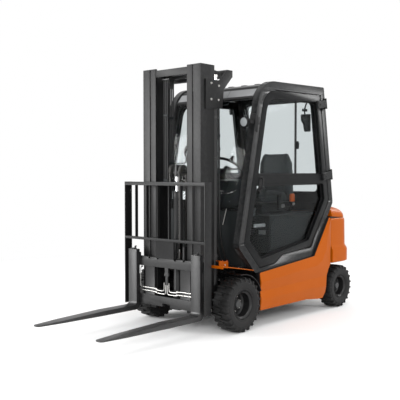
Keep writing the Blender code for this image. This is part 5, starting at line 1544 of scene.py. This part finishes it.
settle(joined("cab_fan", fan), "chassis", sealRubber)
print("driver's place built")


# mast
mastShape = {
    "front": -0.284, "back": -0.115, "outer": (0.251, 0.33), "inner": (0.18, 0.24), "top": 2.18,
    "rollerY": -0.1995, "liftX": 0.296, "liftY": -0.075, "liftRadius": 0.03,
}


def swapped(node, body, look, soft, segments=2, angle=30):
    return settle(refine(node, soft, segments, angle), body, look, [node])


swapped("mast_outer", "mast_outer", mastSteel, 0.003, 3)
swapped("mast_inner", "mast_inner", mastSteel, 0.003, 3)
swapped("carriage", "carriage", innerSteel, 0.002)
swapped("side_shift_frame", "side_shift", carriageSteel, 0.003, 3)
swapped("load_backrest", "side_shift", mastSteel, 0.0015)
for name in ("left", "right"):
    swapped(f"fork_{name}", f"fork_{name}", forkSteel, 0.003, 3, 24)
    swapped(f"tilt_barrel_{name}", f"tilt_barrel_{name}", frameBlack, 0.0015)
    swapped(f"knuckle_{name}", f"knuckle_{name}", frameBlack, 0.002)
swapped("drive_axle", "chassis", frameBlack, 0.003)
swapped("steer_axle", "chassis", frameBlack, 0.003)


def buildLiftCylinder(name, side):
    x, y, r = mastShape["liftX"] * side, mastShape["liftY"], mastShape["liftRadius"]
    base, top = 0.3754, 1.9
    barrel = lathe([(0, base), (r, base), (r, base + 0.03), (r * 0.97, base + 0.034), (r * 0.97, top - 0.062),
                    (r, top - 0.056), (r, top - 0.004), (r * 0.94, top), (0.024, top), (0.0236, top - 0.01),
                    (0, top - 0.01)], at(x, y, 0), (0, 0, 1), 56)
    settle(barrel, "mast_outer", innerSteel, [f"lift_barrel_{name}"])
    barrel.name = f"lift_cylinder_{name}"
    port = joined(f"lift_port_{name}", [
        bar(at(x - side * 0.024, y, base + 0.03), at(x - side * 0.046, y, base + 0.03), 0.009, 24, 0.001),
        bolt(at(x - side * 0.046, y, base + 0.03), (-side, 0, 0), 0.01, 0.008),
    ])
    settle(port, "mast_outer", zincSteel)
    clamps = []
    for z in (0.62, 1.42, 1.76):
        clamps.append(lathe([(r - 0.001, z - 0.011), (r + 0.004, z - 0.01), (r + 0.004, z + 0.01),
                             (r - 0.001, z + 0.011)],
                            at(x, y, 0), (0, 0, 1), 44))
        clamps.append(block(at(min(x - 0.012, x + 0.012), mastShape["back"] - 0.002, z - 0.01),
                            at(max(x - 0.012, x + 0.012), y - r + 0.002, z + 0.01), 0.001))
        clamps.append(bolt(at(x, y + r + 0.003, z), (0, 1, 0), 0.006, 0.005))
    settle(joined(f"lift_clamps_{name}", clamps), "mast_outer", innerSteel)
    rod = lathe([(0, 0.4), (0.0222, 0.4), (0.0222, 2.1055), (0, 2.1055)], at(x, y, 0), (0, 0, 1), 56)
    settle(rod, "mast_inner", chromeSteel, [f"lift_rod_{name}"])
    rod.name = f"lift_rod_{name}_bright"
    head = joined(f"lift_head_{name}", [
        lathe([(0.0222, 2.085), (0.03, 2.087), (0.03, 2.108), (0.0222, 2.11)], at(x, y, 0), (0, 0, 1), 40),
        bolt(at(x, y, 2.14), (0, 0, 1), 0.013, 0.01),
    ])
    settle(head, "mast_inner", zincSteel)


twoSided(buildLiftCylinder)
y = mastShape["rollerY"]
freeBarrel = lathe([(0, 0.1844), (0.04, 0.1844), (0.04, 0.23), (0.0385, 0.234), (0.0385, 1.08), (0.04, 1.084),
                    (0.04, 1.146), (0.0375, 1.15), (0.024, 1.15), (0.0237, 1.138), (0, 1.138)], at(0, y, 0),
                   (0, 0, 1), 64)
settle(freeBarrel, "mast_inner", innerSteel, ["free_lift_barrel"])
freeBarrel.name = "free_lift_cylinder"
ram = lathe([(0, 0.27), (0.0233, 0.27), (0.0233, 1.3), (0, 1.3)], at(0, y, 0), (0, 0, 1), 56)
settle(ram, "free_lift", chromeSteel, ["free_lift_ram"])
ram.name = "free_lift_rod"
head = [block(at(-0.086, y - 0.026, 1.298), at(0.086, y + 0.026, 1.318), 0.004, 3),
        block(at(-0.012, y - 0.03, 1.298), at(0.012, y + 0.03, 1.372), 0.005, 3),
        lathe([(0.0236, 1.272), (0.033, 1.275), (0.033, 1.299), (0.0236, 1.3)], at(0, y, 0), (0, 0, 1), 44),
        bar(at(-0.082, y, 1.327), at(0.082, y, 1.327), 0.011, 28, 0.001)]
settle(joined("free_lift_crosshead", head), "free_lift", innerSteel)
for side in (-1, 1):
    sheave = lathe([(0.012, -0.014), (0.044, -0.014), (0.045, -0.0125), (0.045, -0.0105), (0.037, -0.0095),
                    (0.037, 0.0095), (0.045, 0.0105), (0.045, 0.0125), (0.044, 0.014), (0.012, 0.014), (0.012, -0.014)],
                   at(side * 0.056, y, 1.327), (1, 0, 0), 64)
    sheave.name = f"chain_sheave_{'left' if side > 0 else 'right'}"
    settle(sheave, "free_lift", chainSteel)


# lift chains, over the middle cylinder's sheaves
chainShape = {"pitch": 0.0159, "plates": 5, "thick": 0.0019, "height": 0.0145, "wheel": 0.041, "wheelZ": 1.327}


def chainAlong(path, name, width=1.0):
    # leaf chain: rows of figure-eight plates that overlap on their pins, along a path in the YZ plane
    size = chainShape
    lengths = [0.0]
    for a, b in zip(path, path[1:]):
        lengths.append(lengths[-1] + (b - a).length)
    count = int(lengths[-1] / size["pitch"])

    def point(s):
        for k in range(len(path) - 1):
            if s <= lengths[k + 1] or k == len(path) - 2:
                span = max(lengths[k + 1] - lengths[k], 1e-9)
                return path[k].lerp(path[k + 1], (s - lengths[k]) / span)

    verts, faces = [], []
    for i in range(count):
        start, end = point(i * size["pitch"]), point((i + 1) * size["pitch"])
        along = (end - start).normalized()
        over = Vector((1, 0, 0)).cross(along)
        middle = (start + end) / 2
        rows = range(size["plates"])
        for j in rows:
            if (j + i) % 2:
                continue
            x = (j - (size["plates"] - 1) / 2) * size["thick"] * 1.12 * width
            half = size["height"] / 2
            reach = size["pitch"] / 2
            outline = [(-reach - half * 0.75, -half * 0.6), (-reach, -half), (-reach * 0.25, -half * 0.72),
                       (reach * 0.25, -half * 0.72), (reach, -half), (reach + half * 0.75, -half * 0.6),
                       (reach + half * 0.95, 0), (reach + half * 0.75, half * 0.6), (reach, half),
                       (reach * 0.25, half * 0.72), (-reach * 0.25, half * 0.72), (-reach, half),
                       (-reach - half * 0.75, half * 0.6), (-reach - half * 0.95, 0)]
            first = len(verts)
            for face in (-1, 1):
                for a, b in outline:
                    verts.append(middle + along * a + over * b + Vector((x + face * size["thick"] / 2, 0, 0)))
            n = len(outline)
            faces.append(tuple(first + k for k in range(n))[::-1])
            faces.append(tuple(first + n + k for k in range(n)))
            for k in range(n):
                after = (k + 1) % n
                faces.append((first + k, first + after, first + n + after, first + n + k))
        # pin heads
        first = len(verts)
        wide = size["plates"] * size["thick"] * 0.62 * width
        for face in (-1, 1):
            for k in range(8):
                angle = 2 * math.pi * k / 8
                verts.append(start + Vector((face * wide, 0, 0))
                             + (along * math.cos(angle) + over * math.sin(angle)) * 0.0032)
        faces.append(tuple(first + k for k in range(8))[::-1])
        faces.append(tuple(first + 8 + k for k in range(8)))
        for k in range(8):
            faces.append((first + k, first + (k + 1) % 8, first + 8 + (k + 1) % 8, first + 8 + k))
    piece = newPiece(name, verts, faces)
    bm = bmesh.new()
    bm.from_mesh(piece.data)
    bmesh.ops.recalc_face_normals(bm, faces=bm.faces)
    bm.to_mesh(piece.data)
    bm.free()
    return smoothShade(piece, 30)


def straight(x, y, low, high):
    return [at(x, y, low), at(x, y, high)]


reach = chainShape["wheel"]
for side in (-1, 1):
    label = "left" if side > 0 else "right"
    x = side * 0.056
    arc = [at(x, y - reach * math.cos(math.pi * k / 14), chainShape["wheelZ"] + reach * math.sin(math.pi * k / 14))
           for k in range(15)]
    top = chainAlong([at(x, y - reach, 1.314)] + arc + [at(x, y + reach, 0.7)], f"chain_over_{label}")
    settle(top, "free_lift", chainSteel)
    low = chainAlong(straight(x, y + reach, 0.236, 1.18), f"chain_rear_{label}", 0.94)
    settle(low, "mast_inner", chainSteel)
    foot = joined(f"chain_anchor_{label}", [
        bar(at(x, y + reach, 0.176), at(x, y + reach, 0.245), 0.006, 20, 0.0008),
        bolt(at(x, y + reach, 0.212), (0, 0, 1), 0.01, 0.01),
        block(at(x - 0.008, y + reach - 0.009, 0.226), at(x + 0.008, y + reach + 0.009, 0.25), 0.002),
    ])
    settle(foot, "mast_inner", zincSteel)
    front = chainAlong(straight(x, y - reach, 0.682, 1.318), f"chain_front_{label}")
    settle(front, "free_lift", chainSteel)
    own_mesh(front)
    lug = joined(f"chain_lug_{label}", [
        block(at(x - 0.011, y - reach - 0.012, 0.56), at(x + 0.011, y - reach + 0.012, 0.64), 0.003),
        bar(at(x, y - reach, 0.62), at(x, y - reach, 0.666), 0.007, 20, 0.001),
        bolt(at(x, y - reach, 0.64), (0, 0, 1), 0.011, 0.009),
        block(at(x - 0.014, y - reach - 0.03, 0.575), at(x + 0.014, y - reach - 0.008, 0.59), 0.002),
    ])
    settle(lug, "carriage", zincSteel)

# rail details: bolts, wear strips and the top hose sheave
bolts = []
for side in (-1, 1):
    outer = mastShape["outer"][1] * side
    for z, dy in ((0.178, -0.148), (0.54, -0.148), (1.9, -0.17), (1.9, -0.08), (2.03, -0.17), (2.015, -0.075)):
        out = outer + (side * 0.0142 if z > 1.5 else 0.0)
        bolts.append(bolt(at(out, dy, z), (side, 0, 0), 0.0095 if z < 1 else 0.0075, 0.007))
settle(joined("mast_bolts", bolts), "mast_outer", zincSteel)
# flat black discs on the outer rails stand in for holes: painted shade of their insides, no opening is cut
holes = [bar(at(side * 0.329, -0.19, 2.132), at(side * 0.3306, -0.19, 2.132), 0.011, 32) for side in (-1, 1)]
settle(joined("rail_hole_painted_shade", holes), "mast_outer", sealRubber)
strips = []
for side in (-1, 1):
    low, high = spread(0.2405, 0.25, side)
    strips.append(block(at(low, -0.276, 1.96), at(high, -0.262, 2.165), 0.002))
    strips.append(block(at(low, -0.14, 1.96), at(high, -0.124, 2.165), 0.002))
settle(joined("rail_wear_strips", strips), "mast_outer", whiteMarks)
hoseRow = (-0.136, -0.1165, -0.097)
hoseBlock = [
    block(at(-0.158, -0.236, 2.086), at(-0.072, -0.15, 2.098), 0.002),
    block(at(-0.152, -0.222, 2.012), at(-0.147, -0.16, 2.09), 0.002),
    block(at(-0.087, -0.222, 2.012), at(-0.082, -0.16, 2.09), 0.002),
    bar(at(-0.154, -0.19, 2.05), at(-0.08, -0.19, 2.05), 0.008, 24, 0.001),
]
settle(joined("hose_sheave_bracket", hoseBlock), "mast_inner", innerSteel)
sheaves = []
for x in hoseRow:
    sheaves.append(lathe([(0.009, -0.0092), (0.036, -0.0092), (0.036, -0.008), (0.028, -0.007), (0.028, 0.007),
                          (0.036, 0.008), (0.036, 0.0092), (0.009, 0.0092), (0.009, -0.0092)],
                         at(x, -0.19, 2.05), (1, 0, 0), 48))
settle(joined("hose_sheaves", sheaves), "mast_inner", frameBlack)
hoses = []
for x in hoseRow:
    hoses.append(tube([at(x, -0.2245, 1.2), at(x, -0.2245, 1.6), at(x, -0.2245, 2.05), at(x, -0.2145, 2.0745),
                       at(x, -0.19, 2.0845), at(x, -0.1655, 2.0745), at(x, -0.1555, 2.05), at(x, -0.1555, 1.6),
                       at(x, -0.1555, 1.0)], 0.0064, 14))
settle(joined("mast_hoses_middle", hoses), "mast_inner", hoseRubber)
clips = [block(at(-0.144, -0.164, z), at(-0.0895, -0.146, z + 0.022), 0.003) for z in (1.06, 1.38, 1.76)]
clips += [block(at(-0.144, -0.234, z), at(-0.0895, -0.216, z + 0.02), 0.003) for z in (1.23, 1.78)]
settle(joined("hose_clips_middle", clips), "mast_inner", moulded)

# hoses from the mast to the front of the body, with their orange fittings
hoseShape = {"radius": 0.0085, "xs": (0.268, 0.292)}
lines = []
ends = []
for i, x in enumerate(hoseShape["xs"]):
    back = i * 0.03
    lines.append(tube([at(x, -0.03 + back * 0.3, 1.96), at(x, -0.028 + back * 0.4, 1.82),
                       at(x, -0.026 + back * 0.5, 1.5), at(x, -0.026 + back * 0.5, 1.15),
                       at(x, -0.024 + back * 0.7, 0.88), at(x, -0.008 + back, 0.72),
                       at(x, 0.036 + back * 1.1, 0.59), at(x, 0.068 + back * 1.1, 0.53)], hoseShape["radius"], 16))
    tip, aim = Vector(at(x, 0.052 + back * 1.1, 0.56)), Vector(at(x, 0.086 + back * 1.1, 0.496))
    way = (aim - tip).normalized()
    ends += [bar(tip - way * 0.004, tip + way * 0.03, 0.0115, 28, 0.0015),
             bar(tip + way * 0.034, tip + way * 0.052, 0.0115, 28, 0.0015)]
hoseLines = joined("mast_hoses_left", lines)
settle(hoseLines, "chassis", hoseRubber)
hoseLines.parent = None
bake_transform(hoseLines)
settle(joined("hose_fittings", ends), "chassis", fittingOrange)
clips = [block(at(0.256, -0.046, z), at(0.304, -0.006, z + 0.026), 0.004, 3) for z in (1.3, 1.6, 1.86)]
clips += [block(at(0.27, -0.112, z + 0.004), at(0.288, -0.04, z + 0.022), 0.002) for z in (1.86,)]
settle(joined("hose_clips_left", clips), "mast_outer", moulded)

# side-shift: its cylinder, pipes and fittings between the carriage bars
shiftShape = {"pipeY": -0.3384, "pipe": 0.0042}
py = shiftShape["pipeY"]
centre = [
    block(at(-0.02, py - 0.003, 0.452), at(0.02, py + 0.016, 0.516), 0.003, 3),
    block(at(-0.026, py - 0.004, 0.446), at(0.026, py + 0.014, 0.47), 0.003, 3),
    block(at(-0.014, py - 0.002, 0.35), at(0.014, py + 0.014, 0.45), 0.003, 3),
    block(at(-0.018, py - 0.001, 0.296), at(0.018, py + 0.014, 0.352), 0.003, 3),
]
settle(joined("side_shift_block", centre), "side_shift", carriageSteel)
pipes, nuts = [], []
for side in (-1, 1):
    for k, (inner, low, far) in enumerate(((0.028, 0.318, 0.33), (0.009, 0.294, 0.304))):
        top = 0.39 if k == 0 else 0.372
        pipes.append(tube([at(side * inner, py, top), at(side * inner, py, low + 0.03),
                           at(side * (inner + 0.006), py, low + 0.006),
                           at(side * (inner + 0.03), py, low), at(side * 0.11, py, low + 0.002),
                           at(side * 0.15, py, far), at(side * 0.262, py, far + 0.001),
                           at(side * 0.305, py, far)], shiftShape["pipe"], 14))
        for x in (0.122, 0.19, 0.25):
            nuts.append(bar(at(side * (x - 0.011), py + 0.001, far), at(side * (x + 0.011), py + 0.001, far), 0.006, 6,
                            0.0006))
settle(joined("side_shift_pipes", pipes), "side_shift", zincSteel)
settle(joined("side_shift_nuts", nuts), "side_shift", zincSteel)
ram = [bar(at(-0.146, -0.319, 0.316), at(0.146, -0.319, 0.316), 0.0135, 40, 0.002)]
ram += [bar(at(side * 0.112, -0.319, 0.316), at(side * 0.146, -0.319, 0.316), 0.0148, 40, 0.002) for side in (-1, 1)]
settle(joined("side_shift_cylinder", ram), "side_shift", innerSteel)
riser = joined("side_shift_riser", [
    tube([at(-0.303, py, 0.33), at(-0.311, py, 0.352), at(-0.311, py, 0.47), at(-0.308, py, 0.492),
          at(-0.298, py, 0.502)], 0.004, 12),
    bar(at(-0.3, py - 0.004, 0.503), at(-0.3, py + 0.01, 0.503), 0.0075, 24, 0.001),
])
settle(riser, "side_shift", zincSteel)

# fork catches and small fittings above the upper bar
catches = []
for name, side in (("left", 1), ("right", -1)):
    x = side * 0.365
    catch = joined(f"fork_catch_{name}", [
        block(at(x - 0.018, -0.384, 0.6545), at(x + 0.018, -0.35, 0.662), 0.002),
        bar(at(x, -0.352, 0.64), at(x, -0.352, 0.676), 0.007, 24, 0.001),
        tube([at(x, -0.352, 0.674), at(x + 0.012, -0.356, 0.678), at(x + 0.026, -0.36, 0.676)], 0.004, 12),
    ])
    settle(catch, f"fork_{name}", innerSteel)
hooks = []
for x, tall in ((0.084, 0.046), (-0.084, 0.062)):
    hooks.append(block(at(x - 0.014, -0.338, 0.5945), at(x + 0.014, -0.308, 0.5945 + tall), 0.004, 3))
    hooks.append(bar(at(x, -0.323, 0.59), at(x, -0.323, 0.5945 + tall + 0.012), 0.006, 20, 0.001))
settle(joined("backrest_clamps", hooks), "side_shift", innerSteel)
print("mast built")


# floor, light and camera
stage = {
    "floorColour": (0.86, 0.86, 0.86),
    "fadeStart": 2.6,
    "fadeEnd": 5.2,
    "worldStrength": 1.0,
    "lights": (
        # name, place, aim, width, height, watts
        ("keyFront", (-4.4, -5.4, 2.3), (0.0, -0.4, 1.0), 3.0, 3.6, 430),
        ("sideFill", (6.4, 1.0, 3.6), (0.2, 0.6, 0.7), 2.2, 2.2, 120),
        ("topSoft", (0.6, 0.0, 5.6), (0.0, 0.0, 0.0), 3.6, 3.6, 40),
        ("bevelGlow", (5.6, -6.2, 3.0), (0.3, 0.0, 1.0), 1.6, 1.6, 200),
        ("rearRim", (1.2, 6.0, 3.6), (0.0, 1.0, 1.2), 2.0, 2.0, 110),
    ),
    "cameraPlace": (4.1213, -4.7294, 1.3076),
    "cameraTurn": 41.9156,
    "cameraDrop": 2.2202,
    "lens": 63.82,
}


def makeStage():
    bm = bmesh.new()
    bmesh.ops.create_circle(bm, cap_ends=True, segments=96, radius=60.0)
    floor = fromBmesh("studioFloor", bm)
    look = bpy.data.materials.new("studioFloor")
    look.use_nodes = True
    tree = look.node_tree
    shader = tree.nodes["Principled BSDF"]
    shader.inputs["Base Color"].default_value = (*stage["floorColour"], 1)
    shader.inputs["Roughness"].default_value = 0.75
    shader.inputs["Specular IOR Level"].default_value = 0.15
    glow = tree.nodes.new("ShaderNodeEmission")
    glow.inputs["Color"].default_value = (1, 1, 1, 1)
    glow.inputs["Strength"].default_value = 1.0
    mix = tree.nodes.new("ShaderNodeMixShader")
    place = tree.nodes.new("ShaderNodeTexCoord").outputs["Object"]
    length = tree.nodes.new("ShaderNodeVectorMath")
    length.operation = "LENGTH"
    tree.links.new(place, length.inputs[0])
    fade = rangeNode(tree, length.outputs["Value"], stage["fadeStart"], stage["fadeEnd"])
    tree.links.new(fade, mix.inputs[0])
    tree.links.new(shader.outputs[0], mix.inputs[1])
    tree.links.new(glow.outputs[0], mix.inputs[2])
    tree.links.new(mix.outputs[0], tree.nodes["Material Output"].inputs["Surface"])
    floor.data.materials.append(look)

    scene = bpy.context.scene
    scene.view_settings.view_transform = "Standard"
    world = bpy.data.worlds.new("studio")
    scene.world = world
    world.use_nodes = True
    background = world.node_tree.nodes["Background"]
    background.inputs["Color"].default_value = (1, 1, 1, 1)
    background.inputs["Strength"].default_value = stage["worldStrength"]
    for name, place, aim, width, height, watts in stage["lights"]:
        data = bpy.data.lights.new(name, "AREA")
        data.shape = "RECTANGLE"
        data.size, data.size_y = width, height
        data.energy = watts
        light = bpy.data.objects.new(name, data)
        light.location = place
        light.rotation_mode = "QUATERNION"
        light.rotation_quaternion = (Vector(aim) - Vector(place)).to_track_quat("-Z", "Y")
        light.visible_camera = False
        scene.collection.objects.link(light)
    camera = bpy.data.objects.new("camera", bpy.data.cameras.new("camera"))
    camera.location = stage["cameraPlace"]
    camera.rotation_euler = (math.radians(90 - stage["cameraDrop"]), 0, math.radians(stage["cameraTurn"]))
    camera.data.lens = stage["lens"]
    camera.data.sensor_width = 36
    camera.data.clip_end = 200
    scene.collection.objects.link(camera)
    scene.camera = camera


makeStage()
print("stage set")
